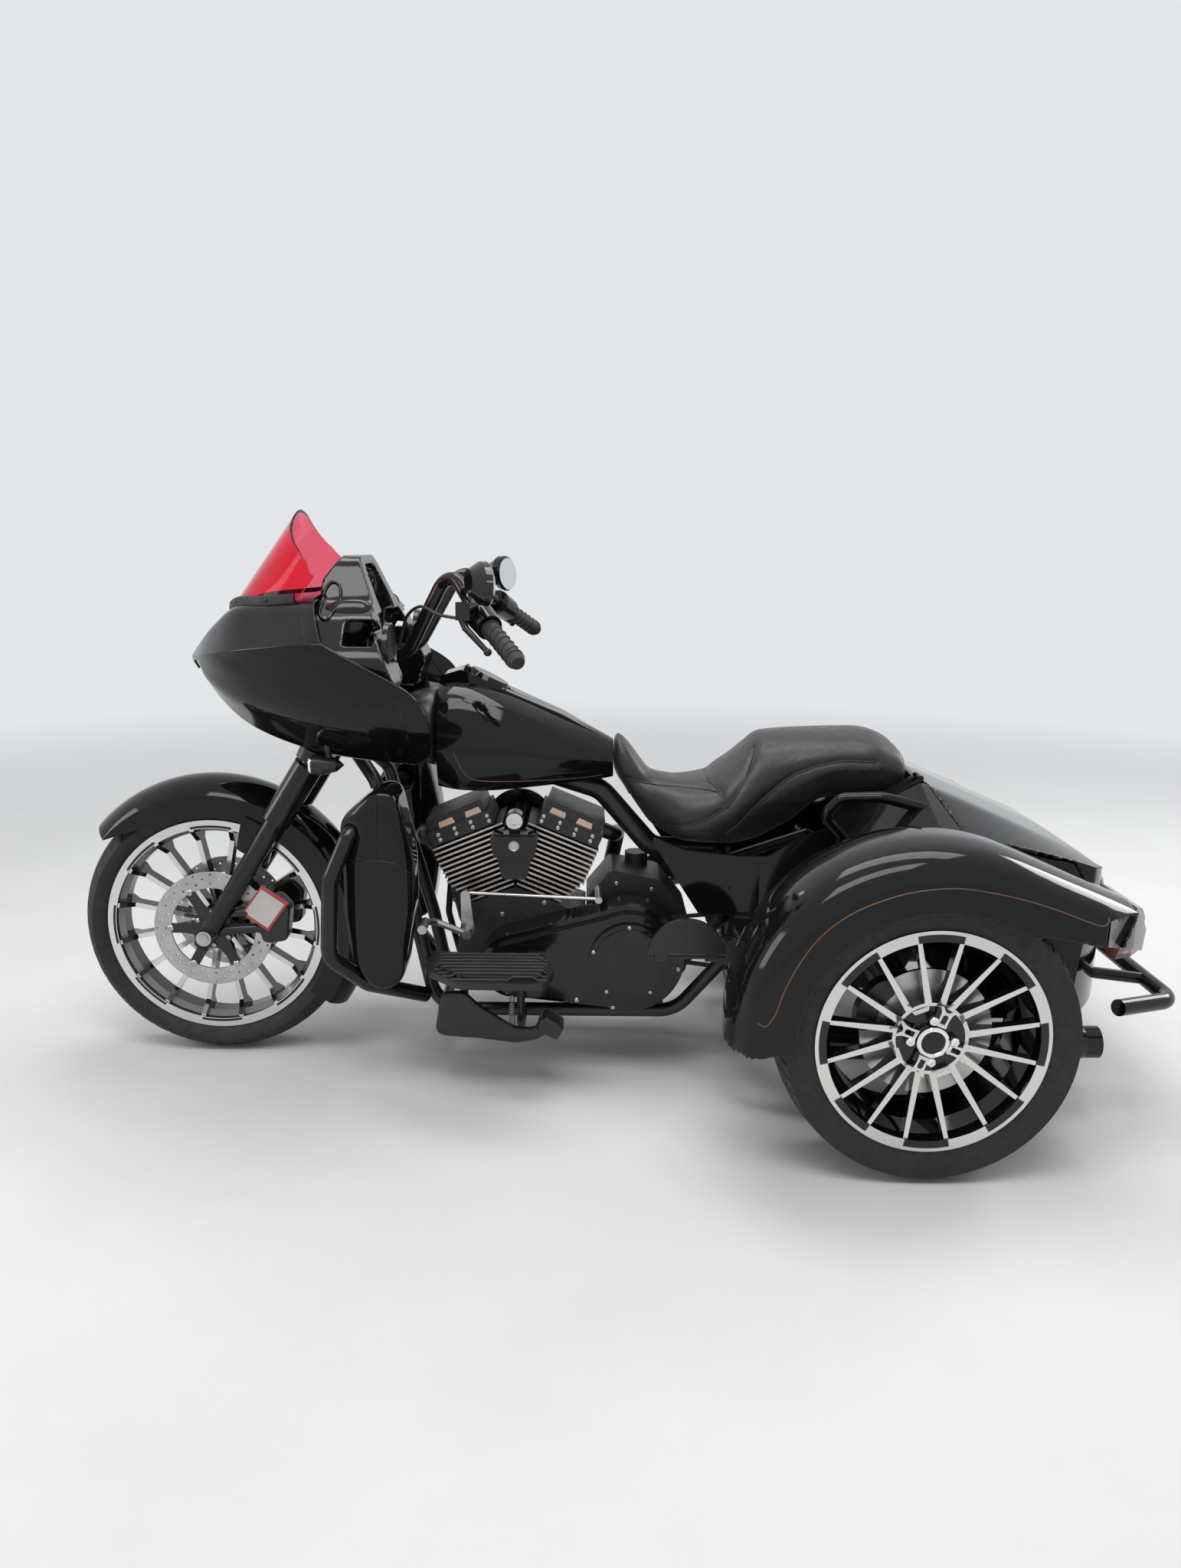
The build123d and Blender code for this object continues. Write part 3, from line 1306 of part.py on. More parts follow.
def tail_plan(inset):
    """Plan of the rear body: straight sides and a bowed tail."""
    tail = -LENGTH / 2 + TAIL_TO_BUMPER + inset
    half, corner = TUB_HALF - inset, tail + TAIL_BOW - inset * 0.2
    sides = Polyline((corner, -half), (0, -half), (0, half), (corner, half))
    return make_face(sides + ThreePointArc((corner, half), (tail, 0), (corner, -half)))


def tub_section(row, inset):
    """Cross-section of the rear body between the wheels."""
    x, top, shoulder_y, shoulder_z, edge_y, edge_z = row
    half = [
        (0, top - inset), (shoulder_y - inset * 0.4, shoulder_z - inset),
        (edge_y - inset, edge_z - inset * 0.7),
        (edge_y + 4 - inset, edge_z - 70), (TUB_HALF - 26 - inset, TUB_FLOOR_Z + inset),
    ]
    loop = half + [(-y, z) for y, z in reversed(half[1:])]
    plane = Plane(origin=(x, 0, 0), x_dir=(0, 1, 0), z_dir=(1, 0, 0))
    return plane * make_face(Polyline(*loop, close=True))


def tub_solid(inset=0):
    """The rear body's form between the wheels, shrunk by inset."""
    sections = [tub_section(row, inset) for row in TUB]
    body = loft(sections[:2]) + loft(sections[1:])
    profile = Pos(inset * 1.3, 0) * rounded(*TUB_SIDE)
    return body & side_plate(profile, -TUB_HALF, TUB_HALF) & plan_plate(tail_plan(inset), 200, 900)


def lid_zone(gap):
    """Everything above and behind the lid's seam, moved back from it by gap."""
    front = LID_FRONT_X - gap
    zone = rounded(
        (front, 900), (front, 740), (-803 - gap, 684 + gap), (-1069, 622 + gap), (-1112, 560 + gap),
        (-1300, 530 + gap), (-1300, 900),
    )
    seam = [(front, 0), (front, 150), (-774 - gap, 250), (-808 - gap, 396)]
    plan = rounded(*seam[1:], (-1300, 396), (-1300, -396), *[(x, -y) for x, y in reversed(seam[1:])])
    return side_plate(zone, -TUB_HALF, TUB_HALF) & plan_plate(plan, 480, 900)


FENDER_SECTION = [
    # y, radius from the wheel centre
    (692, 286), (694, 374), (684, 392), (650, 414), (590, 424), (500, 420), (440, 406), (400, 380),
    (384, 330),
]


def fender_face():
    """Fender cross-section as a closed strip of skin thickness, as (Y, radius)."""
    inner = [(y - SKIN, r - (0 if r < 380 else 3)) for y, r in FENDER_SECTION[:3]]
    inner += [(y, r - SKIN) for y, r in FENDER_SECTION[3:7]] + [(y + SKIN, r) for y, r in FENDER_SECTION[7:]]
    return make_face(Polyline(*FENDER_SECTION, *reversed(inner), close=True))


def fender_end():
    """Plane across the fender where its turned part ends and its straight tail starts."""
    radial = Vector(cos(radians(FENDER_TOP)), 0, sin(radians(FENDER_TOP)))
    across = Vector(0, 1, 0)
    return Plane(origin=(rear_axle_x, 0, rear_axle_z), x_dir=across, z_dir=across.cross(radial))


FENDER_TOP = 113
FENDER_TAIL = 262


def rear_fender(side):
    """One rear fender: a hooked section turned about the wheel, then run straight back."""
    x, z = rear_axle_x, rear_axle_z
    plane = fender_end()
    face = plane * fender_face()
    wing = revolve(face, axis=Axis((x, 0, z), (0, 1, 0)), revolution_arc=FENDER_TOP + 4)
    wing += extrude(face, amount=-FENDER_TAIL)
    outer = [(y, r) for y, r in FENDER_SECTION if r > 330]
    end = plane.offset(-FENDER_TAIL) * make_face(Polyline((692, 300), *outer, (404, 300), close=True))
    wing += extrude(end, amount=SKIN)
    below = rounded(
        (-832, 540), (-880, 562, 30), (-1080, 524), (-1300, 480), (-1300, 200), (-800, 200), (-800, 400),
    )
    wing -= side_plate(below, 380, 720)
    taper = rounded(
        (-900, 720), (-900, 696), (-1010, 690, 60), (-1150, 610), (-1200, 540), (-1300, 540),
        (-1300, 720),
    )
    wing -= plan_plate(taper, 200, 900)
    wing -= tub_solid()
    wing = max(wing.solids(), key=lambda solid: solid.volume)
    return wing if side > 0 else mirror(wing, about=Plane.XZ)


def rear_body():
    """Rear body: a hollow trunk tub between the fenders, open at the top for the lid."""
    outer = tub_solid()
    inner = tub_solid(SKIN)
    wall = TUB_WALL_X - SKIN
    trunk_room = rounded(
        (-782, 455, 20), (-782, 900), (-1300, 900), (-1300, TUB_FLOOR_Z + SKIN),
        (wall, TUB_FLOOR_Z + SKIN, 20),
        (wall, 426, 12),
    )
    front = BODY_FRONT_X - SKIN
    seat_room = rounded((front, 400), (front, 900), (-772, 900), (-772, 400))
    opening = lid_zone(-SEAM)
    pocket_x = (SEAT_END_X + SEAT_FRONT_POCKET) / 2
    pocket = Pos(pocket_x, 0, SEAT_PAN_Z + 100) * Box(SEAT_FRONT_POCKET - SEAT_END_X, 2 * POCKET_HALF, 200)
    tray = Pos(pocket_x - SKIN, 0, SEAT_PAN_Z + 100 - SKIN) * Box(
        SEAT_FRONT_POCKET - SEAT_END_X, 2 * (POCKET_HALF + SKIN), 200
    )
    tub = outer - (inner & side_plate(trunk_room, -TUB_HALF, TUB_HALF))
    tub -= inner & side_plate(seat_room, -TUB_HALF, TUB_HALF)
    tub += tray & outer
    tub -= pocket
    tub -= opening
    for side in (-1, 1):
        tub -= Pos(HINGE_X - 4, side * HINGE_Y, HINGE_Z - 10) * Box(26, 20, 50)
    body = max(tub.solids(), key=lambda solid: solid.volume)
    for side in (-1, 1):
        for y in (HINGE_Y - 17, HINGE_Y + 17):
            body += hinge_knuckle(side * y, 1, 20)
        body -= hinge_pin(side, 30, HINGE_PIN_R + FIT)
    return body


HINGE_PIN_R = 3


def hinge_pin(side, half, radius):
    """A round bar on the trunk hinge's axis, through one pair of knuckles."""
    y = side * HINGE_Y
    return rod((HINGE_X, y - half, HINGE_Z), (HINGE_X, y + half, HINGE_Z), radius)


def hinge_knuckle(y, direction, drop):
    """Knuckle of the lid's hinge and its leaf, forward on the body or back on the lid."""
    knuckle = rod((HINGE_X, y - 7, HINGE_Z), (HINGE_X, y + 7, HINGE_Z), 7)
    reach = HINGE_X + direction * 30
    leaf = rounded(
        (HINGE_X, HINGE_Z - 7), (reach, HINGE_Z - 11 - drop), (reach, HINGE_Z - 3 - drop), (HINGE_X, HINGE_Z)
    )
    return knuckle + side_plate(leaf, y - 7, y + 7)


def trunk_lid():
    """Trunk lid: a domed skin hinged at its front edge by two knuckles on pins."""
    skin = tub_solid() - tub_solid(SKIN)
    lid = max((skin & lid_zone(0)).solids(), key=lambda solid: solid.volume)
    for side in (-1, 1):
        lid += hinge_knuckle(side * HINGE_Y, -1, 18)
        lid += hinge_pin(side, 24, HINGE_PIN_R)
    return lid


def tail_lamps():
    """Wedge lamps on the rear ends of the fenders."""
    lens = rounded((-1040, 620), (-1108, 598, 20), (-1136, 552, 16), (-1130, 506, 10), (-1040, 500))
    plan = rounded(
        (-1040, 650), (-1078, 640, 10), (-1126, 590, 30), (-1160, 480, 20), (-1120, 462), (-1040, 462),
    )
    lamp = side_plate(lens, 440, 660) & plan_plate(plan, 480, 640)
    back = fender_end().offset(-FENDER_TAIL - SEAT_GAP)
    lamp &= extrude(back * (Pos(560, 300) * Rectangle(400, 500)), amount=-200)
    return both_sides(max(lamp.solids(), key=lambda solid: solid.volume))


def rear_bumper():
    """Bent tube across the tail, with two brackets up to the body."""
    r = 19
    back = -LENGTH / 2 + r
    points = [(-1150, -470, 318), (back, -380, 300), (back, 380, 300), (-1150, 470, 318)]
    bar = tube(points, r, [70, 70])
    for side in (-1, 1):
        y = side * 250
        bar += rod((back, y, 300), (-1150, y, 320), 14)
    bar -= Pos(-SEAT_GAP, 0, 0) * tub_solid()
    return max(bar.solids(), key=lambda solid: solid.volume)


def plate_bracket():
    """Flat plate holder on two stand-offs behind the body, drilled for a small licence plate."""
    face = RectangleRounded(196, 120, 8)
    for y in (-PLATE_HOLE_Y / 2, PLATE_HOLE_Y / 2):
        for z in (-PLATE_HOLE_Z / 2, PLATE_HOLE_Z / 2):
            face -= Pos(y, z) * Circle(PLATE_HOLE_R)
    plane = Plane(origin=(PLATE_X, 0, PLATE_Z), x_dir=(0, 1, 0), z_dir=(1, 0, 0))
    holder = extrude(plane * face, amount=4)
    for y in (-50, 50):
        holder += rod((PLATE_X + 3, y, PLATE_Z), (PLATE_X + 60, y, PLATE_Z), 9)
    return holder - Pos(-SEAT_GAP, 0, 0) * tub_solid()


PLATE_X = -LENGTH / 2 + 73
PLATE_Z = 440
PLATE_HOLE_Y = 146
PLATE_HOLE_Z = 73
PLATE_HOLE_R = 3.5


def grab_handles():
    """Looped pillion handles on the shoulders of the rear body."""
    route = [(-590, 262, 620), (-512, 272, 706), (-548, 278, 748), (-640, 290, 754), (-760, 304, 726)]
    left = tube(route, 13, [24, 30, 60])
    left -= Pos(0, 0, SEAT_GAP) * tub_solid()
    return both_sides(max(left.solids(), key=lambda solid: solid.volume))


NODES = {
    "front_tyre": front_tyre,
    "front_rim": front_rim,
    "front_discs": front_discs,
    "rear_tyre_left": lambda: rear_tyre(1),
    "rear_tyre_right": lambda: rear_tyre(-1),
    "rear_rim_left": lambda: rear_rim(1),
    "rear_rim_right": lambda: rear_rim(-1),
    "rear_disc_left": lambda: rear_disc(1),
    "rear_disc_right": lambda: rear_disc(-1),
    "fork_legs": fork_legs,
    "front_axle": front_axle,
    "yokes": yokes,
    "handlebar": handlebar,
    "grips": grips,
    "hand_controls": hand_controls,
    "mirrors": mirrors,
    "turn_signals": turn_signals,
    "front_fender": front_fender,
    "front_calipers": front_calipers,
    "fairing_shell": fairing_shell,
    "headlamps": headlamps,
    "fairing_dash": fairing_dash,
    "windshield": windshield,
    "fuel_tank": fuel_tank,
    "tank_console": tank_console,
    "filler_lid": filler_lid,
    "seat": seat,
    "side_covers": side_covers,
    "crankcase": crankcase,
    "cylinders": cylinders,
    "rocker_covers": rocker_covers,
    "transmission": transmission,
    "primary_cover": primary_cover,
    "derby_cover": derby_cover,
    "horn_cover": horn_cover,
    "air_cleaner": air_cleaner,
    "pushrod_tubes": pushrod_tubes,
    "frame": frame,
    "engine_guard": engine_guard,
    "lower_fairings": lower_fairings,
    "footboards": footboards,
    "exhaust_pipes": exhaust_pipes,
    "mufflers": mufflers,
    "swing_axle": swing_axle,
    "drive_belt": drive_belt,
    "shift_lever": shift_lever,
    "brake_pedal": brake_pedal,
    "parking_pedal": parking_pedal,
    "pillion_brackets": lambda: both_sides(pillion_brackets()),
    "pillion_board_left": lambda: pillion_board(1),
    "pillion_board_right": lambda: pillion_board(-1),
    "rear_body": rear_body,
    "rear_fender_left": lambda: rear_fender(1),
    "rear_fender_right": lambda: rear_fender(-1),
    "trunk_lid": trunk_lid,
    "tail_lamps": tail_lamps,
    "rear_bumper": rear_bumper,
    "plate_bracket": plate_bracket,
    "grab_handles": grab_handles,
}

os.makedirs("parts", exist_ok=True)
for name, make in NODES.items():
    export_step(make(), f"parts/{name}.step")
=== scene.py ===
"""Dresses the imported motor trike: camera, studio, materials, seat, trim and small parts."""
import bpy
import bmesh
import numpy as np
from math import atan2, cos, pi, radians, sin, sqrt
from mathutils import Matrix, Vector
from mathutils.bvhtree import BVHTree
from mathutils.kdtree import KDTree


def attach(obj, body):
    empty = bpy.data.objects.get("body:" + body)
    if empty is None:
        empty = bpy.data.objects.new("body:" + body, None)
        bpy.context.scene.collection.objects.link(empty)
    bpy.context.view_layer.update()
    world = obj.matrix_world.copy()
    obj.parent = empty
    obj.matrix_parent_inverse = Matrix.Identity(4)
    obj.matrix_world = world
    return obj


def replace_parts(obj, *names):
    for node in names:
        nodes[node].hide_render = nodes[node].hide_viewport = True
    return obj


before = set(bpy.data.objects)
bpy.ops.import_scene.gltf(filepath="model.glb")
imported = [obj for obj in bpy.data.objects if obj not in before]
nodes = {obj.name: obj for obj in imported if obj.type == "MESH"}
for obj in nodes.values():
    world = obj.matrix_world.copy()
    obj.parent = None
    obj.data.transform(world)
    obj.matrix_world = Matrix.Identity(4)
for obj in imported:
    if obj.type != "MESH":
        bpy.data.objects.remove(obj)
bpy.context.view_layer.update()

scene = bpy.context.scene
scene.view_settings.view_transform = "Standard"
HANDS = (("left", 1), ("right", -1))


def linked(name, data):
    """A new object in the scene."""
    made = bpy.data.objects.new(name, data)
    scene.collection.objects.link(made)
    return made


def set_all(target, settings):
    """Sets attributes from a dictionary."""
    for key, value in settings.items():
        setattr(target, key, value)


# Camera, measured from the photograph

YAW, PITCH, ROLL = radians(-0.215), radians(12.32), radians(0.566)
LENS = 26.4
CAMERA_PLACE = (0.041, 2.868, 1.342)


def make_camera():
    """Camera at the photograph's place."""
    camera = linked("Camera", bpy.data.cameras.new("Camera"))
    set_all(camera.data, {"lens": LENS, "sensor_width": 36, "sensor_fit": "AUTO", "clip_end": 200})
    ahead = Vector((sin(YAW) * cos(PITCH), -cos(YAW) * cos(PITCH), -sin(PITCH)))
    right = ahead.cross(Vector((0, 0, 1))).normalized()
    above = right.cross(ahead)
    x_axis = cos(ROLL) * right + sin(ROLL) * above
    y_axis = cos(ROLL) * above - sin(ROLL) * right
    turn = Matrix((x_axis, y_axis, -ahead)).transposed().to_4x4()
    camera.matrix_world = Matrix.Translation(CAMERA_PLACE) @ turn
    scene.camera = camera


make_camera()

# Shading


class Shade:
    """A material's or world's node tree."""

    def __init__(self, owner):
        owner.use_nodes = True
        self.tree = owner.node_tree

    def fill(self, socket, value):
        """Links a socket's value or sets a plain one."""
        if isinstance(value, bpy.types.NodeSocket):
            self.tree.links.new(value, socket)
        else:
            socket.default_value = value

    def node(self, kind, values=None, **attrs):
        """A node with its attributes set and its inputs filled."""
        made = self.tree.nodes.new("ShaderNode" + kind)
        set_all(made, attrs)
        for key, value in (values or {}).items():
            self.fill(made.inputs[key], value)
        return made

    def math(self, operation, *values):
        """A Math node's output."""
        return self.node("Math", dict(enumerate(values)), operation=operation).outputs[0]

    def times(self, product, *factors):
        """The product of two or more values."""
        for factor in factors:
            product = self.math("MULTIPLY", product, factor)
        return product

    def spread(self, value, low, high, to_low=0.0, to_high=1.0):
        """A value mapped from low..high onto to_low..to_high, clamped."""
        values = {"Value": value, "From Min": low, "From Max": high, "To Min": to_low, "To Max": to_high}
        return self.node("MapRange", values).outputs[0]

    def band(self, value, low, high, soft=0.0006):
        """1 where a value is between low and high."""
        return self.times(self.spread(value, low, low + soft), self.spread(value, high, high - soft))

    def mix(self, share, first, second):
        """Two colours mixed by share."""
        made = self.node("Mix", {"Factor": share}, data_type="RGBA")
        for index, value in ((6, first), (7, second)):
            self.fill(made.inputs[index], (*value, 1) if isinstance(value, tuple) else value)
        return made.outputs[2]

    def noise(self, place, scale, detail=2.0, rough=0.5):
        """Noise value at a scale in cells per metre."""
        values = {"Vector": place, "Scale": scale, "Detail": detail, "Roughness": rough}
        return self.node("TexNoise", values).outputs["Fac"]

    def place(self):
        """Object coordinates: metres in the shared frame."""
        return self.node("TexCoord").outputs["Object"]

    def parts(self, vector):
        """A vector's X, Y and Z."""
        return self.node("SeparateXYZ", {0: vector}).outputs

    def facing(self, axis):
        """How far the surface looks along an axis."""
        return self.parts(self.node("TexCoord").outputs["Normal"])[axis]

    def aside(self, value, low, high):
        """A value's size mapped from low..high onto 0..1."""
        return self.spread(self.math("ABSOLUTE", value), low, high)

    def source(self, name):
        """What feeds an input of the Principled shader."""
        return self.tree.nodes["Principled BSDF"].inputs[name].links[0].from_socket

    def shade(self, **values):
        """Fills the Principled shader's inputs, _ for a space."""
        for key, value in values.items():
            self.fill(self.tree.nodes["Principled BSDF"].inputs[key.replace("_", " ")], value)


def finish(name, color, other, rough, metal=0.0, blotch=7.0, swing=0.2, grain=0.0, grain_scale=600.0,
           cells=False, edge=0.0, edge_wear_and_highlight_color=None, **sockets):
    """A material: two close colours in blotches, varied roughness, fine relief, wear and painted highlight on
    edges.
    """
    mat = bpy.data.materials.new(name)
    s = Shade(mat)
    place = s.place()
    base = s.mix(s.spread(s.noise(place, blotch, 4.0, 0.6), 0.3, 0.7), color, other)
    patches = s.noise(place, blotch * 5.3, 5.0, 0.65)
    s.shade(Metallic=metal, **sockets,
            Roughness=s.spread(patches, 0.25, 0.75, rough * (1 - swing), rough * (1 + swing)))
    normal = {}
    if edge:
        normal["Normal"] = s.node("Bevel", {"Radius": edge}, samples=4).outputs[0]
        # Lighter colour along edges, mottled by noise: partly wear, partly a painted highlight
        if edge_wear_and_highlight_color:
            flat = s.node("NewGeometry").outputs["Normal"]
            bend = s.node("VectorMath", {0: normal["Normal"], 1: flat}, operation="DOT_PRODUCT")
            wear_and_highlight_share = s.times(s.spread(bend.outputs["Value"], 0.985, 0.9),
                           s.spread(s.noise(place, 60.0, 4.0), 0.42, 0.62))
            base = s.mix(wear_and_highlight_share, base, edge_wear_and_highlight_color)
    if grain:
        if cells:
            height = s.node("TexVoronoi", {"Vector": place, "Scale": grain_scale},
                            feature="SMOOTH_F1").outputs["Distance"]
        else:
            height = s.noise(place, grain_scale, 3.0, 0.6)
        relief = {"Height": height, "Strength": 1.0, "Distance": grain, **normal}
        normal["Normal"] = s.node("Bump", relief).outputs[0]
    s.shade(Base_Color=base, **normal)
    return mat


# Materials: name, two colours, roughness, metal, blotch scale, swing of roughness, grain height and scale

PAINT, PAINT_OTHER = (0.0045, 0.0045, 0.0052), (0.008, 0.0078, 0.0085)
CAST, CAST_OTHER = (0.012, 0.012, 0.013), (0.02, 0.019, 0.019)
gloss_black = finish("gloss_black", PAINT, PAINT_OTHER, 0.045, 0, 3, 0.35, 0.00002, 900, IOR=1.45,
                     Specular_IOR_Level=0.36)
deep_black = finish("deep_black", (0.006, 0.006, 0.0065), (0.011, 0.0105, 0.011), 0.12, 0, 9, 0.3, 0.00003,
                    1200, edge=0.0012, Specular_IOR_Level=0.4)
satin_black = finish("satin_black", (0.01, 0.01, 0.011), (0.017, 0.0165, 0.017), 0.33, 0, 11, 0.2, 0.00005,
                     1500, edge=0.0012, edge_wear_and_highlight_color=(0.05, 0.05, 0.052))
crinkle_black = finish("crinkle_black", CAST, CAST_OTHER, 0.46, 0, 14, 0.2, 0.00025, 1100, edge=0.0012,
                       edge_wear_and_highlight_color=(0.045, 0.043, 0.042))
moulded = finish("moulded_black", (0.013, 0.013, 0.014), (0.019, 0.019, 0.02), 0.5, 0, 12, 0.2, 0.0001, 2200,
                 edge=0.001)
rubber = finish("rubber", (0.013, 0.013, 0.0135), (0.022, 0.021, 0.02), 0.62, 0, 16, 0.2, 0.00008, 1800)
tyre_rubber = finish("tyre_rubber", (0.0085, 0.0085, 0.0085), (0.018, 0.017, 0.0155), 0.7, 0, 9, 0.2,
                     0.00015, 1400)
leather = finish("leather", (0.011, 0.011, 0.012), (0.018, 0.0175, 0.018), 0.42, 0, 8, 0.25, 0.00035, 520,
                 cells=True, Sheen_Weight=0.12, Sheen_Roughness=0.4)
machined = finish("machined", (0.72, 0.7, 0.68), (0.6, 0.58, 0.56), 0.2, 1, 10, 0.2, 0.00003, 1600)
chrome = finish("chrome", (0.86, 0.87, 0.88), (0.8, 0.81, 0.83), 0.045, 1, 6)
steel = finish("steel", (0.5, 0.49, 0.48), (0.38, 0.37, 0.36), 0.3, 1, 18, 0.2, 0.00004, 900)
# Bare milled metal whose warm bronze tint is a painted reflection
metal_painted_warm_reflection = finish("edge_metal_painted_warm_reflection", (0.62, 0.47, 0.36), (0.48, 0.36, 0.28), 0.26, 1, 20, 0.2, 0.00003)
tint = finish("red_tint", (0.96, 0.16, 0.23), (0.94, 0.13, 0.2), 0.03, 0, 4, 0.3, Transmission_Weight=1.0,
              IOR=1.2, Specular_IOR_Level=0.6)
smoke = finish("smoke_lens", (0.66, 0.62, 0.62), (0.58, 0.54, 0.54), 0.05, 0, 6, Transmission_Weight=0.85,
               IOR=1.35, Coat_Weight=0.6)
glass = finish("lamp_glass", (0.93, 0.94, 0.95), (0.9, 0.91, 0.93), 0.02, 0, 4, Transmission_Weight=1.0,
               IOR=1.3)
amber = finish("amber_lens", (0.95, 0.3, 0.03), (0.88, 0.24, 0.02), 0.08, 0, 8, Transmission_Weight=0.35,
               IOR=1.4, Coat_Weight=1.0)
red_lens = finish("red_lens", (0.62, 0.02, 0.02), (0.5, 0.015, 0.015), 0.08, 0, 8, Transmission_Weight=0.3,
                  IOR=1.4, Coat_Weight=1.0)
lamp_pale = finish("lamp_pale", (0.56, 0.54, 0.52), (0.46, 0.44, 0.43), 0.1, 0, 22, Coat_Weight=1.0)
screen = finish("screen_glass", (0.006, 0.006, 0.007), (0.009, 0.009, 0.01), 0.03, 0, 5, Coat_Weight=1.0)
card_white = finish("card_white", (0.62, 0.6, 0.56), (0.55, 0.53, 0.5), 0.45, 0, 30)
stripe = finish("pinstripe", (0.2, 0.105, 0.055), (0.15, 0.08, 0.042), 0.3, 0.4, 20)
belt_black = finish("belt", (0.014, 0.014, 0.014), (0.02, 0.02, 0.02), 0.66, 0, 30, 0.2, 0.0002, 900)

POCKETS = 8


def wheel_finish(name, x, z, y_mid, rings, pocket_ring, duty, hub):
    """Gloss black with machined outward faces and black pockets round the lip."""
    mat = bpy.data.materials.new(name)
    s = Shade(mat)
    place = s.place()
    at = s.parts(place)
    across, above = s.math("SUBTRACT", at["X"], x), s.math("SUBTRACT", at["Z"], z)
    radius = s.math("SQRT", s.math("ADD", s.times(across, across), s.times(above, above)))
    angle = s.math("DIVIDE", s.math("ARCTAN2", above, across), 2 * pi)
    turn = s.math("FRACT", s.math("ADD", s.times(angle, POCKETS), 0.5))
    pocket = s.times(s.band(turn, 0.5 - duty, 0.5 + duty, 0.012), s.band(radius, *pocket_ring))
    cut = s.times(s.aside(s.facing("Y"), 0.8, 0.86), s.aside(s.math("SUBTRACT", at["Y"], y_mid), *rings),
                  s.spread(radius, hub, hub + 0.001), s.math("SUBTRACT", 1.0, pocket))
    turned = s.noise(s.node("CombineXYZ", {0: radius}).outputs[0], 2600.0, 2.0)
    metal = s.mix(turned, (0.6, 0.585, 0.57), (0.8, 0.785, 0.77))
    soft = s.node("Bevel", {"Radius": 0.0012}, samples=4).outputs[0]
    bump = s.node("Bump", {"Height": turned, "Strength": 0.3, "Distance": 0.00003, "Normal": soft})
    patches = s.spread(s.noise(place, 40.0, 4.0), 0.3, 0.7, 0.05, 0.1)
    s.shade(Base_Color=s.mix(cut, (0.006, 0.006, 0.0065), metal), Metallic=cut, Normal=bump.outputs[0],
            Roughness=s.math("ADD", s.times(cut, 0.13), patches))
    return mat


FRONT_X, FRONT_Z = 0.99, 0.345
REAR_X, REAR_Z, REAR_Y = -0.68, 0.32, 0.565
front_wheel_look = wheel_finish("front_wheel_finish", FRONT_X, FRONT_Z, 0.0, (0.01, 0.014),
                                (0.2585, 0.2655), 0.26, 0.05)
rear_left_look, rear_right_look = [
    wheel_finish(f"rear_wheel_{hand}_finish", REAR_X, REAR_Z, side * REAR_Y, (0.04, 0.046),
                 (0.2195, 0.2375), 0.27, 0.072) for hand, side in HANDS]


def fin_finish():
    """Crinkle black with bare metal on the fins' milled edges, tinted warm as a painted reflection."""
    mat = finish("fin_finish", CAST, CAST_OTHER, 0.42, blotch=14, grain=0.0002, grain_scale=1100, edge=0.0008)
    s = Shade(mat)
    side = s.times(s.aside(s.facing("Y"), 0.7, 0.8), s.aside(s.parts(s.place())["Y"], 0.08, 0.084))
    # Bare machined metal on the fin edges; its warm bronze tint is a painted reflection
    metal = s.mix(s.noise(s.place(), 220.0, 4.0), (0.42, 0.37, 0.33), (0.62, 0.56, 0.51))
    s.shade(Base_Color=s.mix(side, s.source("Base Color"), metal), Metallic=side,
            Roughness=s.math("SUBTRACT", s.source("Roughness"), s.times(side, 0.16)))
    return mat


def mirror_finish():
    """Gloss black shell whose face towards the rider is a mirror."""
    mat = finish("mirror_finish", PAINT, PAINT_OTHER, 0.05, blotch=5)
    s = Shade(mat)
    back = s.spread(s.facing("X"), -0.88, -0.93)
    s.shade(Base_Color=s.mix(back, s.source("Base Color"), (0.8, 0.82, 0.84)), Metallic=back)
    return mat


fin_look = fin_finish()
mirror_look = mirror_finish()

# Stage

HORIZON = {"Color": (0.9, 0.92, 0.94, 1), "Strength": 0.86}
AMBIENT = {"Color": (0.93, 0.96, 1.0, 1), "Strength": 0.42}
LAMPS = (
    # name, place, target, size, power
    ("key", (0.6, 2.2, 4.2), (0, 0, 0.5), (3.4, 1.6), 95),
    ("top", (-0.3, -0.6, 4.4), (0, 0, 0.6), (4.0, 1.4), 80),
    ("front", (4.2, 0.8, 2.0), (0.4, 0, 0.7), (1.6, 1.6), 34),
    ("back", (-4.0, -1.6, 2.4), (-0.4, 0, 0.6), (1.8, 1.6), 70),
)


def make_floor():
    """Pale floor that fades into the horizon."""
    bm = bmesh.new()
    bmesh.ops.create_circle(bm, cap_ends=True, segments=96, radius=60)
    floor = linked("floor", close_mesh(bm, "floor", False))
    floor.location.z = -0.0005
    mat = finish("floor_pale", (0.74, 0.735, 0.725), (0.7, 0.695, 0.685), 0.75, blotch=2.2,
                 grain=0.0003, grain_scale=300)
    floor.data.materials.append(mat)
    s = Shade(mat)
    path = s.node("LightPath").outputs
    seen = s.math("MAXIMUM", path["Is Camera Ray"], path["Is Glossy Ray"])
    reach = s.node("VectorMath", {0: s.place()}, operation="LENGTH").outputs["Value"]
    share = s.times(seen, s.spread(reach, 2.2, 6.5))
    pale = s.node("Emission", HORIZON).outputs[0]
    shader = s.tree.nodes["Principled BSDF"].outputs[0]
    both = s.node("MixShader", {0: share, 1: shader, 2: pale}).outputs[0]
    s.fill(s.tree.nodes["Material Output"].inputs["Surface"], both)


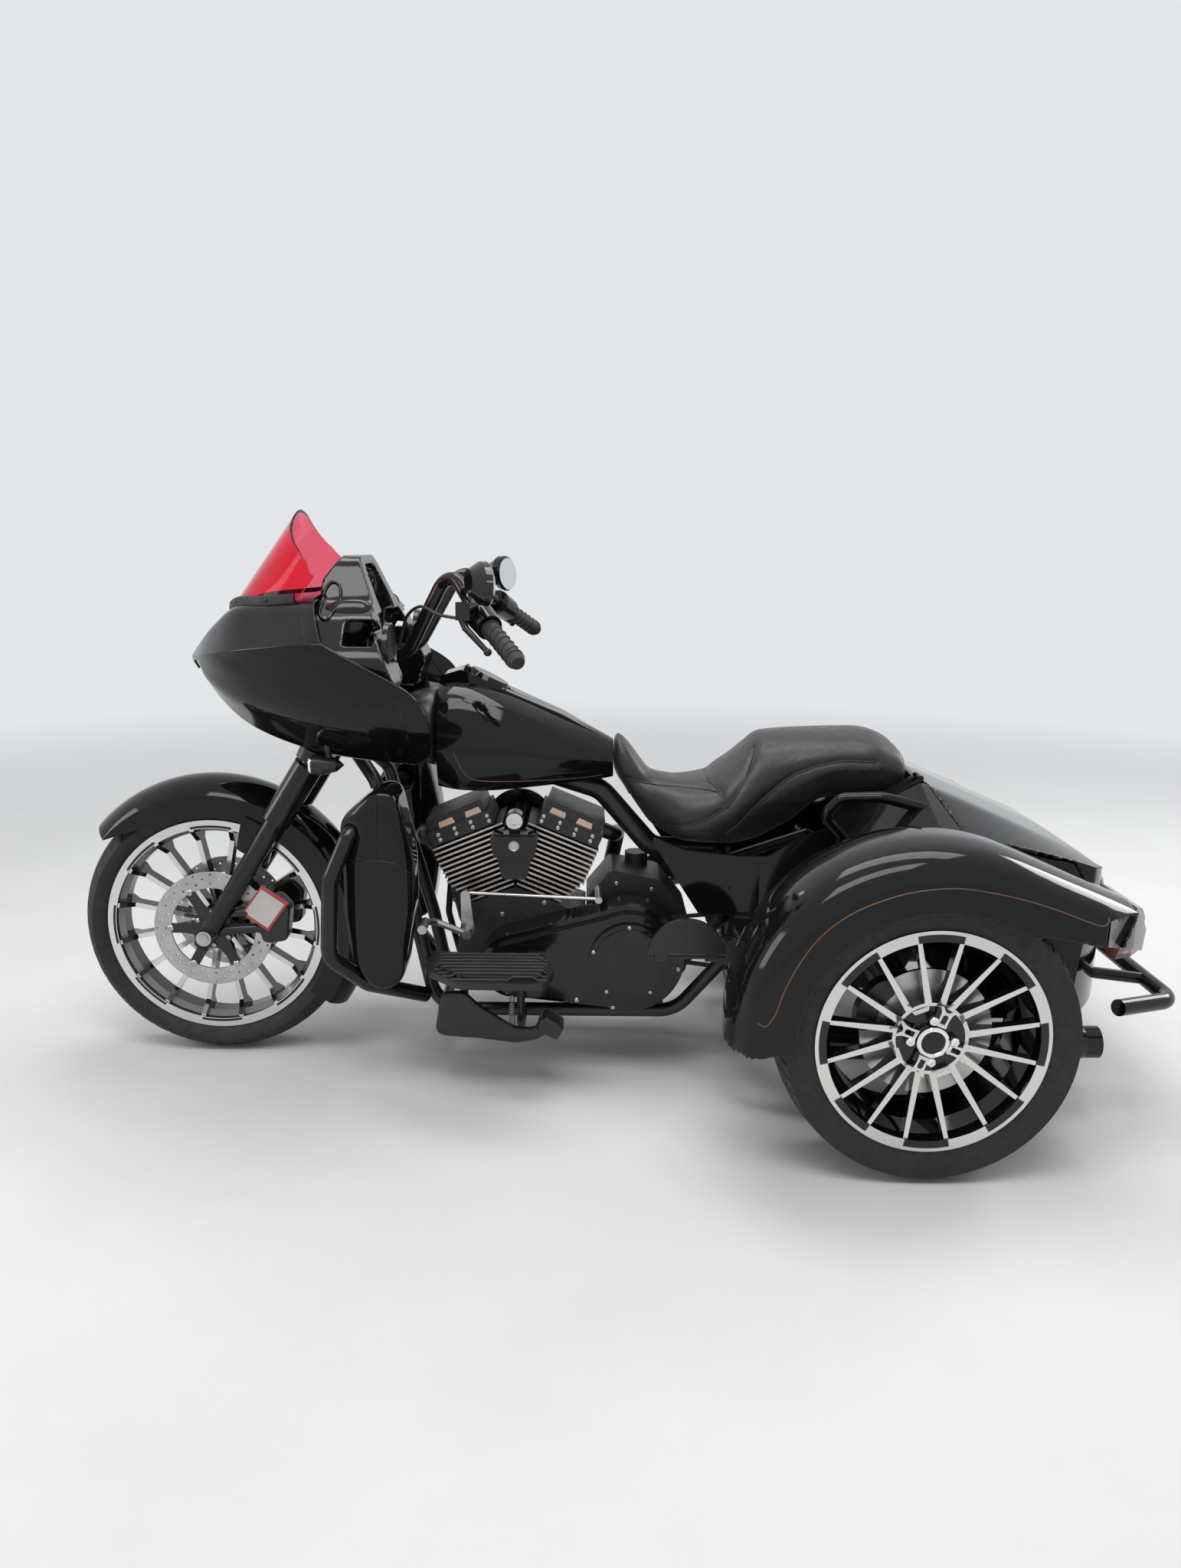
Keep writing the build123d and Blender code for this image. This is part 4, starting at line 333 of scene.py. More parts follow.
def make_light():
    """A plain pale world and soft lamps."""
    scene.world = bpy.data.worlds.new("World")
    s = Shade(scene.world)
    s.tree.nodes.clear()
    path = s.node("LightPath").outputs
    mirrored = s.math("MAXIMUM", path["Is Glossy Ray"], path["Is Transmission Ray"])
    seen = s.math("MAXIMUM", path["Is Camera Ray"], mirrored)
    blend = s.node("MixShader", {0: seen, 1: s.node("Background", AMBIENT).outputs[0],
                                 2: s.node("Background", HORIZON).outputs[0]})
    s.node("OutputWorld", {"Surface": blend.outputs[0]})
    for name, place, target, size, power in LAMPS:
        lamp = linked(name, bpy.data.lights.new(name, "AREA"))
        set_all(lamp.data, {"shape": "RECTANGLE", "size": size[0], "size_y": size[1], "energy": power})
        lamp.location = place
        lamp.rotation_euler = (Vector(target) - Vector(place)).to_track_quat("-Z", "Y").to_euler()


# Helpers for meshes


def mm(rows):
    """Rows of numbers given in millimetres, in metres."""
    return [tuple(value / 1000 for value in row) for row in rows]


def spin(x, z, radius, turn):
    """The (x, z) at a radius and an angle about a centre."""
    return x + radius * cos(turn), z + radius * sin(turn)


def bend(value, power):
    """A power of a value with its sign kept."""
    return abs(value) ** power * (1 if value > 0 else -1)


def circle_points(x, z, radius, count):
    """Points round a circle as (x, z)."""
    return [spin(x, z, radius, 2 * pi * i / count) for i in range(count)]


def open_mesh(mesh):
    """A bmesh with a mesh's content."""
    bm = bmesh.new()
    bm.from_mesh(mesh)
    return bm


def close_mesh(bm, name, outward=True):
    """A mesh with a bmesh's content, its faces turned outward."""
    if outward:
        bmesh.ops.recalc_face_normals(bm, faces=bm.faces)
    mesh = bpy.data.meshes.new(name)
    bm.to_mesh(mesh)
    bm.free()
    return mesh


def strip(bm, a, b, closed=True):
    """Quads between two rows of vertices."""
    for i in range(len(a) if closed else len(a) - 1):
        k = (i + 1) % len(a)
        bm.faces.new((a[i], a[k], b[k], b[i]))


def add(name, mesh, mat, body="chassis", smooth=True, sharp=None):
    """A mesh as a named piece of a body, with its material."""
    piece = linked(name, mesh)
    mesh.materials.clear()
    mesh.materials.append(mat)
    if smooth:
        mesh.shade_smooth()
    if sharp:
        mesh.set_sharp_from_angle(angle=radians(sharp))
    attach(piece, body)
    return piece


def applied(data, *modifiers):
    """The mesh of a mesh or curve after modifiers (kind, settings)."""
    temp = linked("temp", data)
    for kind, settings in modifiers:
        set_all(temp.modifiers.new(kind, kind), settings)
    bpy.context.view_layer.update()
    done = bpy.data.meshes.new_from_object(temp.evaluated_get(bpy.context.evaluated_depsgraph_get()))
    bpy.data.objects.remove(temp)
    return done


def places(mesh):
    """A mesh's vertex places as an array."""
    found = np.empty(len(mesh.vertices) * 3)
    mesh.vertices.foreach_get("co", found)
    return found.reshape(-1, 3)


def move_to(mesh, place):
    """Puts a mesh's vertices at the places of an array."""
    mesh.vertices.foreach_set("co", place.ravel())
    mesh.update()


def point_tree(points):
    """A search tree over points."""
    tree = KDTree(len(points))
    for index, point in enumerate(points):
        tree.insert(point, index)
    tree.balance()
    return tree


def surface(*parts):
    """A search tree over meshes, or pieces and nodes by name."""
    verts, faces = [], []
    for part in parts:
        if isinstance(part, str):
            part = (nodes[part] if part in nodes else scene.objects[part]).data
        base = len(verts)
        verts += [v.co.copy() for v in part.vertices]
        faces += [[base + i for i in p.vertices] for p in part.polygons]
    return BVHTree.FromPolygons(verts, faces)


make_floor()
make_light()

# Finishes of the CAD nodes that show

LOOKS = {
    gloss_black: "front_fender fuel_tank tank_console filler_lid side_covers rear_body rear_bumper "
                 "grab_handles",
    deep_black: "primary_cover derby_cover horn_cover air_cleaner handlebar hand_controls fork_legs "
                "engine_guard mufflers",
    satin_black: "yokes turn_signals frame exhaust_pipes swing_axle brake_pedal pillion_brackets "
                 "pillion_board_left pillion_board_right plate_bracket footboards",
    crinkle_black: "crankcase transmission pushrod_tubes rocker_covers",
    fin_look: "cylinders",
    mirror_look: "mirrors",
    rubber: "grips",
    steel: "front_axle shift_lever rear_disc_left rear_disc_right",
    front_wheel_look: "front_rim",
    rear_left_look: "rear_rim_left",
    rear_right_look: "rear_rim_right",
    smoke: "tail_lamps",
    belt_black: "drive_belt",
}
for mat, names in LOOKS.items():
    for name in names.split():
        slots = nodes[name].data.materials
        slots.clear()
        slots.append(mat)

# Smooth skins over faceted nodes


def sharp_points(mesh, limit):
    """Points along a mesh's edges whose faces meet at more than limit."""
    bm = open_mesh(mesh)
    bmesh.ops.remove_doubles(bm, verts=bm.verts, dist=1e-6)
    found = []
    for edge in bm.edges:
        if len(edge.link_faces) == 2 and edge.calc_face_angle(0) > limit:
            steps = max(1, int(edge.calc_length() / 0.0015))
            a, b = edge.verts[0].co, edge.verts[1].co
            found += [a.lerp(b, i / steps) for i in range(steps + 1)]
    bm.free()
    return found


def relax(mesh, rounds, keep=(), near=0.003, far=0.028):
    """Smooths a mesh, less the closer a vertex is to the points to keep."""
    count = len(mesh.vertices)
    place = places(mesh)
    edges = np.empty(len(mesh.edges) * 2, int)
    mesh.edges.foreach_get("vertices", edges)
    edges = edges.reshape(-1, 2)
    weight = np.ones(count)
    if len(keep):
        tree = point_tree(keep)
        found = [tree.find(Vector(p)) for p in place]
        distance = np.array([hit[2] for hit in found])
        place = np.where((distance < near)[:, None], np.array([hit[0] for hit in found]), place)
        weight = np.clip((distance - near) / (far - near), 0, 1)
    degree = np.bincount(edges.ravel(), minlength=count).clip(1)
    for _ in range(rounds):
        total = np.zeros_like(place)
        for axis in range(3):
            total[:, axis] = (np.bincount(edges[:, 0], place[edges[:, 1], axis], count)
                              + np.bincount(edges[:, 1], place[edges[:, 0], axis], count))
        place += 0.5 * weight[:, None] * (total / degree[:, None] - place)
    move_to(mesh, place)


def soften(name, mat, slot, body, voxel, rounds, limit):
    """A smooth skin in place of a faceted CAD node."""
    source = nodes[name].data
    keep = sharp_points(source, radians(limit))
    mesh = applied(source.copy(), ("REMESH", {"mode": "VOXEL", "voxel_size": voxel}))
    relax(mesh, rounds, keep)
    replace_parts(add(name + "_skin", mesh, mat, body), name)


FAIRING = np.array(mm([
    # x, then y and z of: top, hood, crease, low, bottom
    (1020, 0, 1040, 12, 1039, 18, 1034, 14, 1027, 8, 1022),
    (960, 0, 1108, 84, 1100, 132, 1050, 112, 990, 66, 962),
    (880, 0, 1176, 150, 1166, 236, 1067, 210, 960, 130, 896),
    (770, 0, 1191, 196, 1182, 296, 1085, 272, 938, 164, 850),
    (660, 0, 1198, 228, 1190, 344, 1096, 322, 926, 190, 822),
    (520, 0, 1198, 250, 1187, 364, 1096, 345, 918, 204, 808),
    (380, 0, 1196, 268, 1180, 376, 1094, 358, 916, 214, 800),
]))
NOSE_X = 1.02
FAIRING_COLUMNS = [
    # place along the section (0 top, 1 hood, 2 crease, 3 low, 4 bottom), x of its rear end, crease
    (0.0, 0.668, 0), (0.55, 0.668, 0), (1.0, 0.666, 0.25), (1.5, 0.648, 0), (1.9, 0.63, 0),
    (2.0, 0.62, 0.75), (2.12, 0.584, 0), (2.35, 0.5, 0), (2.6, 0.412, 0), (3.0, 0.388, 0.1),
    (3.4, 0.388, 0), (3.8, 0.404, 0), (4.0, 0.436, 0.3),
]
FAIRING_ROWS = (0, 0.07, 0.16, 0.27, 0.4, 0.55, 0.7, 0.85, 0.97, 1.0)
RIM_ROWS = (0.915, 0.93, 0.96, 0.99, 1.0)
LAMP_X, LAMP_Y, LAMP_Z, LAMP_HOLE_R = 0.948, 0.058, 0.998, 0.033


def rows_mesh(name, rows, loops=True, ring=False, creases=None):
    """Quads through rows of points; rows may be loops and close to a ring."""
    bm = bmesh.new()
    made = [[bm.verts.new(p) for p in row] for row in rows]
    pairs = list(zip(made, made[1:] + made[:1] if ring else made[1:]))
    for a, b in pairs:
        strip(bm, a, b, loops)
    if creases:
        layer = bm.edges.layers.float.new("crease_edge")
        for a, b in pairs:
            for i, value in enumerate(creases):
                bm.edges.get((a[i], b[i]))[layer] = value
    return close_mesh(bm, name)


def fairing_sheet(shares, thickness=None, offset=0):
    """A smooth sheet along the fairing's sections between shares of its length."""
    rows = []
    table = FAIRING[np.argsort(FAIRING[:, 0])]
    for share in shares:
        half = []
        for along, rear, _ in FAIRING_COLUMNS:
            x = NOSE_X + (rear - NOSE_X) * share
            k = min(int(along), 3)
            t = along - k
            y0, z0, y1, z1 = (np.interp(x, table[:, 0], table[:, 2 * k + c]) for c in (1, 2, 3, 4))
            half.append((x, y0 * (1 - t) + y1 * t, z0 * (1 - t) + z1 * t))
        rows.append([(x, -y, z) for x, y, z in reversed(half[1:])] + half)
    values = [crease for _, _, crease in FAIRING_COLUMNS]
    mesh = rows_mesh("fairing", rows, False, creases=list(reversed(values[1:])) + values)
    mesh = applied(mesh, ("SUBSURF", {"levels": 2 if thickness else 3, "render_levels": 3}))
    return applied(mesh, ("SOLIDIFY", {"thickness": thickness, "offset": offset})) if thickness else mesh


def fairing_skin():
    """The fairing's outer skin with its two round lamp openings."""
    mesh = fairing_sheet(FAIRING_ROWS)
    tree = surface(mesh)
    bm = open_mesh(mesh)
    for y in (-LAMP_Y, LAMP_Y):
        out = []
        for face in bm.faces:
            p = face.calc_center_median()
            if p.x > 0.9 and sqrt((p.y - y) ** 2 + (p.z - LAMP_Z) ** 2) < LAMP_HOLE_R:
                out.append(face)
        edge = {v for f in out for v in f.verts if any(g not in out for g in v.link_faces)}
        bmesh.ops.delete(bm, geom=out, context="FACES")
        for v in edge:
            if v.is_valid:
                v.co.y, v.co.z = spin(y, LAMP_Z, LAMP_HOLE_R, atan2(v.co.z - LAMP_Z, v.co.y - y))
                hit = tree.ray_cast(Vector((1.2, v.co.y, v.co.z)), Vector((-1, 0, 0)))[0]
                v.co.x = hit.x if hit else v.co.x
    return applied(close_mesh(bm, "fairing", False), ("SOLIDIFY", {"thickness": 0.006, "offset": -1.0}))


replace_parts(add("fairing_skin", fairing_skin(), gloss_black), "fairing_shell")
add("fairing_rim", fairing_sheet(RIM_ROWS, 0.01, -0.45), gloss_black)
for row in (
        # node, material, slot, body, voxel size, rounds of smoothing, angle over which an edge is kept
        ("rear_fender_left", gloss_black, "gloss_black", "chassis", 0.0053, 60, 50),
        ("rear_fender_right", gloss_black, "gloss_black", "chassis", 0.0053, 60, 50),
        ("trunk_lid", gloss_black, "gloss_black", "trunk_lid", 0.0053, 60, 50),
        ("fairing_dash", deep_black, "black_plastic", "chassis", 0.005, 30, 50),
        ("lower_fairings", gloss_black, "gloss_black", "chassis", 0.005, 60, 180),
        ("parking_pedal", satin_black, "satin_black", "chassis", 0.004, 30, 180),
        ("front_calipers", satin_black, "satin_black", "steering", 0.0028, 10, 180)):
    soften(*row)

# Forms for trim


TURNED = {
    # name: material, steps round, then the closed outline as (along, radius) in millimetres
    "hub_cap": (chrome, 72, (-20, 24), (-20, 34), (-3, 34), (-0.5, 31), (-0.5, 26), (-3, 24)),
    "hub_badge": (deep_black, 72, (-18, 0), (-18, 23.8), (-3, 23.8), (-1.5, 21), (-0.8, 12), (-0.6, 0)),
    "horn_ring": (machined, 64, (-4, 0), (-4, 20), (1, 20), (2, 17), (0.5, 10), (2, 6), (2, 0)),
    "horn_badge": (steel, 48, (-4, 0), (-4, 13), (0.6, 13), (1, 11.5), (0.3, 10.5), (0.3, 0)),
    "gauge_ring": (chrome, 64, (-4, 31), (-4, 38), (6, 38), (9, 35.5), (6, 33), (1, 31)),
    "gauge_face": (screen, 64, (-3, 0), (-3, 31), (1, 31), (1.8, 20), (2, 0)),
    "speaker_ring": (deep_black, 72, (-4, 54.5), (-4, 62), (8, 62), (11, 58.5), (8, 54.5)),
    "speaker_cone": (moulded, 72, (0, 0), (0, 54.5), (3, 54.5), (3, 0)),
    "lamp_bowl": (chrome, 64, (-34, 0), (-30, 14), (-16, 25), (2, 31), (10, 32.5), (10, 33.2), (-18, 29),
                  (-34, 16), (-37, 0)),
    "lamp_bulb": (glass, 32, (-33, 0), (-33, 10), (-14, 10), (-8, 6), (-6, 0)),
    "lamp_lens": (glass, 64, (3, 0), (3, 31), (6, 31), (11, 21), (13.5, 11), (14, 0)),
    "signal_ring": (chrome, 56, (-4.5, 20.5), (-4.5, 23.6), (-1, 23.6), (1, 22.6), (-1, 20.5)),
    "signal_lens": (amber, 56, (-9, 0), (-9, 20.3), (-1, 20.3), (2, 14), (3.5, 7), (4, 0)),
}


def lathe(kind, hand, centre, axis=(0, 1, 0), body="chassis"):
    """A turned form about an axis through centre."""
    name = f"{kind}_{hand}" if hand else kind
    mat, steps, *profile = TURNED[kind]
    profile = mm(profile)
    axis = Vector(axis).normalized()
    first = axis.orthogonal().normalized()
    second = axis.cross(first)
    bm = bmesh.new()
    rows = []
    for j in range(steps):
        turn = 2 * pi * j / steps
        out = cos(turn) * first + sin(turn) * second
        rows.append([bm.verts.new(Vector(centre) + axis * along + radius * out) for along, radius in profile])
    for one, two in zip(rows, rows[1:] + rows[:1]):
        for i in range(len(profile)):
            k = (i + 1) % len(profile)
            if profile[i][1] or profile[k][1]:
                bm.faces.new((one[i], one[k], two[k], two[i]))
    bmesh.ops.remove_doubles(bm, verts=bm.verts, dist=1e-6)
    bmesh.ops.dissolve_degenerate(bm, edges=bm.edges, dist=1e-7)
    return add(name, close_mesh(bm, name), mat, body, sharp=32)


def curve_mesh(name, paths, closed, **settings):
    """The mesh of a curve through paths of points."""
    data = bpy.data.curves.new(name, "CURVE")
    set_all(data, settings)
    for path in paths:
        spline = data.splines.new("POLY")
        spline.points.add(len(path) - 1)
        for target, point in zip(spline.points, path):
            target.co = (*point, 1)
        spline.use_cyclic_u = closed
    return applied(data)


def cutout(name, outlines, y_one, y_two, mat, body="chassis", bevel=0.0004):
    """A flat plate across Y from closed (x, z) outlines; inner ones are holes."""
    mesh = curve_mesh(name, [[(x, z, 0) for x, z in points] for points in outlines], True, dimensions="2D",
                      fill_mode="BOTH", extrude=abs(y_two - y_one) / 2 - bevel, bevel_depth=bevel,
                      bevel_resolution=1)
    mesh.transform(Matrix(((1, 0, 0, 0), (0, 0, -1, (y_one + y_two) / 2), (0, 1, 0, 0), (0, 0, 0, 1))))
    bm = open_mesh(mesh)
    bmesh.ops.remove_doubles(bm, verts=bm.verts, dist=1e-6)
    return add(name, close_mesh(bm, name), mat, body, smooth=False)


def bolts(name, mat, items, side=1, body="chassis"):
    """Socket-head screws along Y as one piece, each (x, z, y, radius, height)."""
    bm = bmesh.new()
    for x, z, y, radius, height in items:
        rings = []
        for along, r in ((0, radius), (height - radius * 0.18, radius), (height, radius * 0.8),
                         (height, radius * 0.52), (height * 0.45, radius * 0.46)):
            rings.append([bm.verts.new((u, y + along * side, w)) for u, w in circle_points(x, z, r, 18)])
        for a, b in zip(rings, rings[1:]):
            strip(bm, a, b)
        bm.faces.new(rings[0])
        bm.faces.new(rings[-1])
    return add(name, close_mesh(bm, name), mat, body, sharp=32)


def curve_points(points, steps=8, closed=False):
    """A smooth path through points."""
    points = [Vector(p) for p in points]
    count = len(points)
    made = []
    for i in range(count if closed else count - 1):
        a, b, c, d = (points[(i + k) % count] if closed else points[min(max(i + k, 0), count - 1)]
                      for k in (-1, 0, 1, 2))
        for j in range(steps):
            t = j / steps
            made.append(0.5 * (2 * b + (c - a) * t + (2 * a - 5 * b + 4 * c - d) * t ** 2
                               + (3 * b - a - 3 * c + d) * t ** 3))
    return made if closed else made + points[-1:]


def tube(name, paths, radius, mat, steps=1, closed=False, round_steps=3, body="chassis"):
    """Round tubes along paths as one piece, smoothed where steps is over 1."""
    paths = [curve_points(path, steps, closed) if steps > 1 else path for path in paths]
    mesh = curve_mesh(name, paths, closed, dimensions="3D", bevel_depth=radius, bevel_resolution=round_steps,
                      use_fill_caps=True)
    return add(name, mesh, mat, body)


def side_line(tree, points, side=1, steps=10, lift=0.0, closed=False):
    """Points (x, z) in millimetres, laid smoothly on a surface from the side."""
    found = []
    for p in curve_points([(x, 0, z) for x, z in mm(points)], steps, closed):
        place, normal, _, _ = tree.ray_cast(Vector((p.x, side, p.z)), Vector((0, -side, 0)))
        if place:
            found.append(place + normal.normalized() * lift)
    return found


# Tyres

WALL_STEPS, CROWN_STEPS = 14, 44
WALL_RIBS = (4, 5, 9, 62, 63, 67)
PITCH_STEPS = 12
CHANNELS = (0.26, 0.66)


def arc3(a, b, c, steps):
    """Points on the circle through three points, from a to c."""
    (ax, ay), (bx, by), (cx, cy) = a, b, c
    d = 2 * (ax * (by - cy) + bx * (cy - ay) + cx * (ay - by))
    aa, bb, cc = ax * ax + ay * ay, bx * bx + by * by, cx * cx + cy * cy
    ux = (aa * (by - cy) + bb * (cy - ay) + cc * (ay - by)) / d
    uy = (aa * (cx - bx) + bb * (ax - cx) + cc * (bx - ax)) / d
    start, mid, end = (atan2(y - uy, x - ux) for x, y in (a, b, c))
    radius = sqrt((ax - ux) ** 2 + (ay - uy) ** 2)
    turn = (end - start) % (2 * pi)
    if (mid - start) % (2 * pi) > turn:
        turn -= 2 * pi
    return [spin(ux, uy, radius, start + turn * i / steps) for i in range(steps + 1)]


def tyre(node_name, body, centre, radius, half, lip, seat_half, drop, blocks, slant, depth):
    """A tyre with ribbed walls, cut channels and slanted sipes."""
    shoulder = radius - drop
    bulge = ((seat_half + half) / 2 + 0.2 * (half - seat_half), (lip + shoulder) / 2)
    wall = arc3((seat_half, lip), bulge, (half, shoulder), WALL_STEPS)[:-1]
    outline = wall + arc3((half, shoulder), (0, radius), (-half, shoulder), CROWN_STEPS)
    outline += [(-y, r) for y, r in reversed(wall)]
    outline += [(-seat_half, lip - 0.012), (seat_half, lip - 0.012)]
    rows = []
    for j in range(PITCH_STEPS * blocks):
        row = []
        for k, (y, r) in enumerate(outline):
            dip = 0.0007 if k in WALL_RIBS else 0.0
            if WALL_STEPS <= k <= WALL_STEPS + CROWN_STEPS:
                across = abs(y / half)
                phase = (j / PITCH_STEPS + slant * across + (0.5 if y > 0 else 0)) % 1
                sipe = abs(phase - 0.5) < 0.085 and 0.32 < across < 1.0
                if sipe or min(abs(across - channel) for channel in CHANNELS) < 0.028:
                    dip = depth * min(1, (1.02 - across) * 12)
            x, z = spin(centre[0], centre[2], r - dip, 2 * pi * j / (PITCH_STEPS * blocks))
            row.append((x, centre[1] + y, z))
        rows.append(row)
    mesh = rows_mesh(node_name, rows, ring=True)
    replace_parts(add(node_name + "_tread", mesh, tyre_rubber, body, sharp=40), node_name)


tyre("front_tyre", "front_wheel", (FRONT_X, 0, FRONT_Z), 0.345, 0.065, 0.279, 0.0447, 0.033, 48, 0.9, 0.0035)
for hand, side in HANDS:
    tyre(f"rear_tyre_{hand}", f"rear_wheel_{hand}", (REAR_X, side * REAR_Y, REAR_Z), 0.32, 0.1075, 0.245,
         0.0987, 0.016, 56, 0.5, 0.004)

# Brakes


def front_brakes():
    """Drilled rotors on black carriers with steel buttons."""
    arm = ((-0.3, 0.054), (-0.17, 0.074), (-0.11, 0.112), (0.11, 0.112), (0.17, 0.074), (0.3, 0.054))
    hub = (FRONT_X, FRONT_Z)
    star = [spin(*hub, radius, 2 * pi * i / 6 + turn) for i in range(6) for turn, radius in arm]
    holes = [circle_points(*spin(*hub, radius, 2 * pi * (i + shift) / 20), 0.0033, 10)
             for radius, shift in ((0.12, 0.0), (0.132, 0.5), (0.143, 0.0)) for i in range(20)]
    rings = [circle_points(*hub, 0.15, 120), circle_points(*hub, 0.108, 96)]
    for hand, side in HANDS:
        rotor = cutout(f"front_rotor_{hand}", rings + holes, side * 0.07, side * 0.075, steel,
                       "front_wheel")
        if side > 0:
            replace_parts(rotor, "front_discs")
        cutout(f"front_carrier_{hand}", [star, circle_points(*hub, 0.018, 32)], side * 0.07, side * 0.0742,
               satin_black, "front_wheel")
        items = [(*spin(*hub, reach, 2 * pi * i / 6 + turn), side * y, radius, height) for i in range(6)
                 for turn, reach, y, radius, height in ((0, 0.109, 0.075, 0.0085, 0.003),
                                                        (pi / 6, 0.044, 0.074, 0.006, 0.005))]
        bolts(f"front_rotor_bolts_{hand}", steel, items, side, "front_wheel")


front_brakes()

# Hubs of the rear wheels

HUB_FACE = REAR_Y + 0.103
# Half outlines as (radius, off the spoke's middle) in millimetres
FORK = [(36, -12), (52, -10.5), (66, -12), (78, -18.5), (79, -14), (69, -3)]
FORK_SLOT = [(43, -6), (60, -6), (64, -3)]
WEDGE = [(70, -14.5), (78.5, -18.5)]


def hub_caps():
    """Caps, badges and nuts."""
    for hand, side in HANDS:
        body = f"rear_wheel_{hand}"
        for kind in ("hub_cap", "hub_badge"):
            lathe(kind, hand, (REAR_X, side * HUB_FACE, REAR_Z), (0, side, 0), body)
        nuts = [(*spot, side * (HUB_FACE - 0.014), 0.0095, 0.01)
                for spot in circle_points(REAR_X, REAR_Z, 0.046, 4)]
        bolts(f"lug_nuts_{hand}", chrome, nuts, side, body)


def quarters(half, start):
    """A half outline mirrored, at each quarter turn of a rear wheel."""
    whole = mm(half + [(r, -off) for r, off in reversed(half)])
    return [[(REAR_X + r * cos(m) - off * sin(m), REAR_Z + r * sin(m) + off * cos(m)) for r, off in whole]
            for m in (radians(start + 90 * i) for i in range(4))]


def rear_wheel_face():
    """Machined forks and wedges where the rear spokes meet the hub."""
    for hand, side in HANDS:
        fork, wedge = (22.5, 67.5)[::side]
        for name, outlines in (("forks", quarters(FORK, fork) + quarters(FORK_SLOT, fork)),
                               ("wedges", quarters(WEDGE, wedge))):
            cutout(f"hub_{name}_{hand}", outlines, side * 0.6596, side * 0.6608, machined,
                   f"rear_wheel_{hand}", 0.0002)


hub_caps()
rear_wheel_face()

# Engine


def on_bank(side, along, off):
    """The (x, z) along a cylinder bank and off its middle."""
    lean = radians(22.5)
    return (0.217 + side * (along * sin(lean) + off * cos(lean)), 0.308 + along * cos(lean) - off * sin(lean))


def engine_trim():
    """Milled windows, bolts, round bosses and the derby cover's screws."""
    for hand, side in (("front", 1), ("rear", -1)):
        plates = [[on_bank(side, along, off) for along, off in
                   ((0.352, low), (0.352, high), (0.372, high - 0.004), (0.372, low + 0.004))]
                  for low, high in ((-0.058, -0.014), (0.014, 0.058))]
        # The rocker windows are bare milled metal; their warm tint is a painted reflection
        cutout(f"rocker_windows_{hand}", plates, 0.0795, 0.0812, metal_painted_warm_reflection, bevel=0.0005)
        heads = [(*on_bank(side, along, off), 0.0858, 0.0055, 0.004) for along in (0.33, 0.344)
                 for off in (-0.066, -0.022, 0.022, 0.066)]
        bolts(f"head_bolts_{hand}", steel, heads)
    lathe("horn_ring", "", (0.217, 0.128, 0.648))
    lathe("horn_badge", "", (0.217, 0.148, 0.59))
    items = [(*spin(-0.067, 0.315, 0.091, radians(a)), 0.2158, 0.005, 0.004) for a in range(18, 360, 72)]
    items += [(0.196 + 0.044 * way, 0.286, 0.2098, 0.0035, 0.002) for way in (1, -1)]
    bolts("derby_screws", steel, items)


engine_trim()

# Pinstripes

FENDER_LINE = [(-312, 372), (-328, 366), (-345, 390), (-363, 444), (-390, 501), (-429, 558), (-481, 602),
               (-538, 631), (-608, 653), (-690, 662), (-761, 654), (-834, 638), (-901, 617), (-962, 594),
               (-990, 586), (-1002, 590), (-1004, 602)]
TANK_LINE = [(362, 822), (340, 775), (322, 757), (296, 750), (220, 748), (120, 748), (40, 750), (0, 754)]
for hand, side in HANDS:
    for name, path, part, radius in (("fender", FENDER_LINE, f"rear_fender_{hand}_skin", 0.0013),
                                     ("tank", TANK_LINE, "fuel_tank", 0.0011)):
        tube(f"{name}_stripe_{hand}", [side_line(surface(part), path, side, 8, 0.0001)], radius, stripe)

# Seat


def rounded_ring(x, low, top, half, power=2.6, count=40):
    """Points round a soft rectangular section across X."""
    return [(x, half * bend(y, 2 / power), (low + top) / 2 + (top - low) / 2 * bend(z, 2 / power))
            for y, z in circle_points(0, 0, 1, count)]


# x, low, top, half width
SEAT_NOSE = mm([(-27.5, 752, 846, 50), (-36, 742, 856, 60), (-60, 714, 828, 70), (-90, 672, 786, 80),
                (-120, 650, 742, 85)])
SEAMS = (
    # waist, bolster, pillion and tail, as (x, z) on each side
    [(-62, 744), (-131, 734), (-201, 729), (-278, 731)],
    [(-262, 742), (-276, 736), (-302, 696)],
    [(-150, 640), (-188, 645), (-244, 664), (-299, 700), (-332, 743), (-356, 793), (-372, 826)],
    [(-300, 630), (-335, 660), (-388, 715), (-460, 772), (-560, 806), (-660, 806)],
)


def seam_lines(mesh):
    """The seams' points on the seat: four on each side and one across."""
    tree = surface(mesh)
    lines = [side_line(tree, path, side, 10) for side in (1, -1) for path in SEAMS]
    across = []
    for i in range(61):
        y = -0.172 + 0.344 * i / 60
        place = tree.ray_cast(Vector((-0.262 - 0.03 * (y / 0.17) ** 2, y, 1.2)), Vector((0, 0, -1)))[0]
        if place:
            across.append(place)
    return lines + [across]


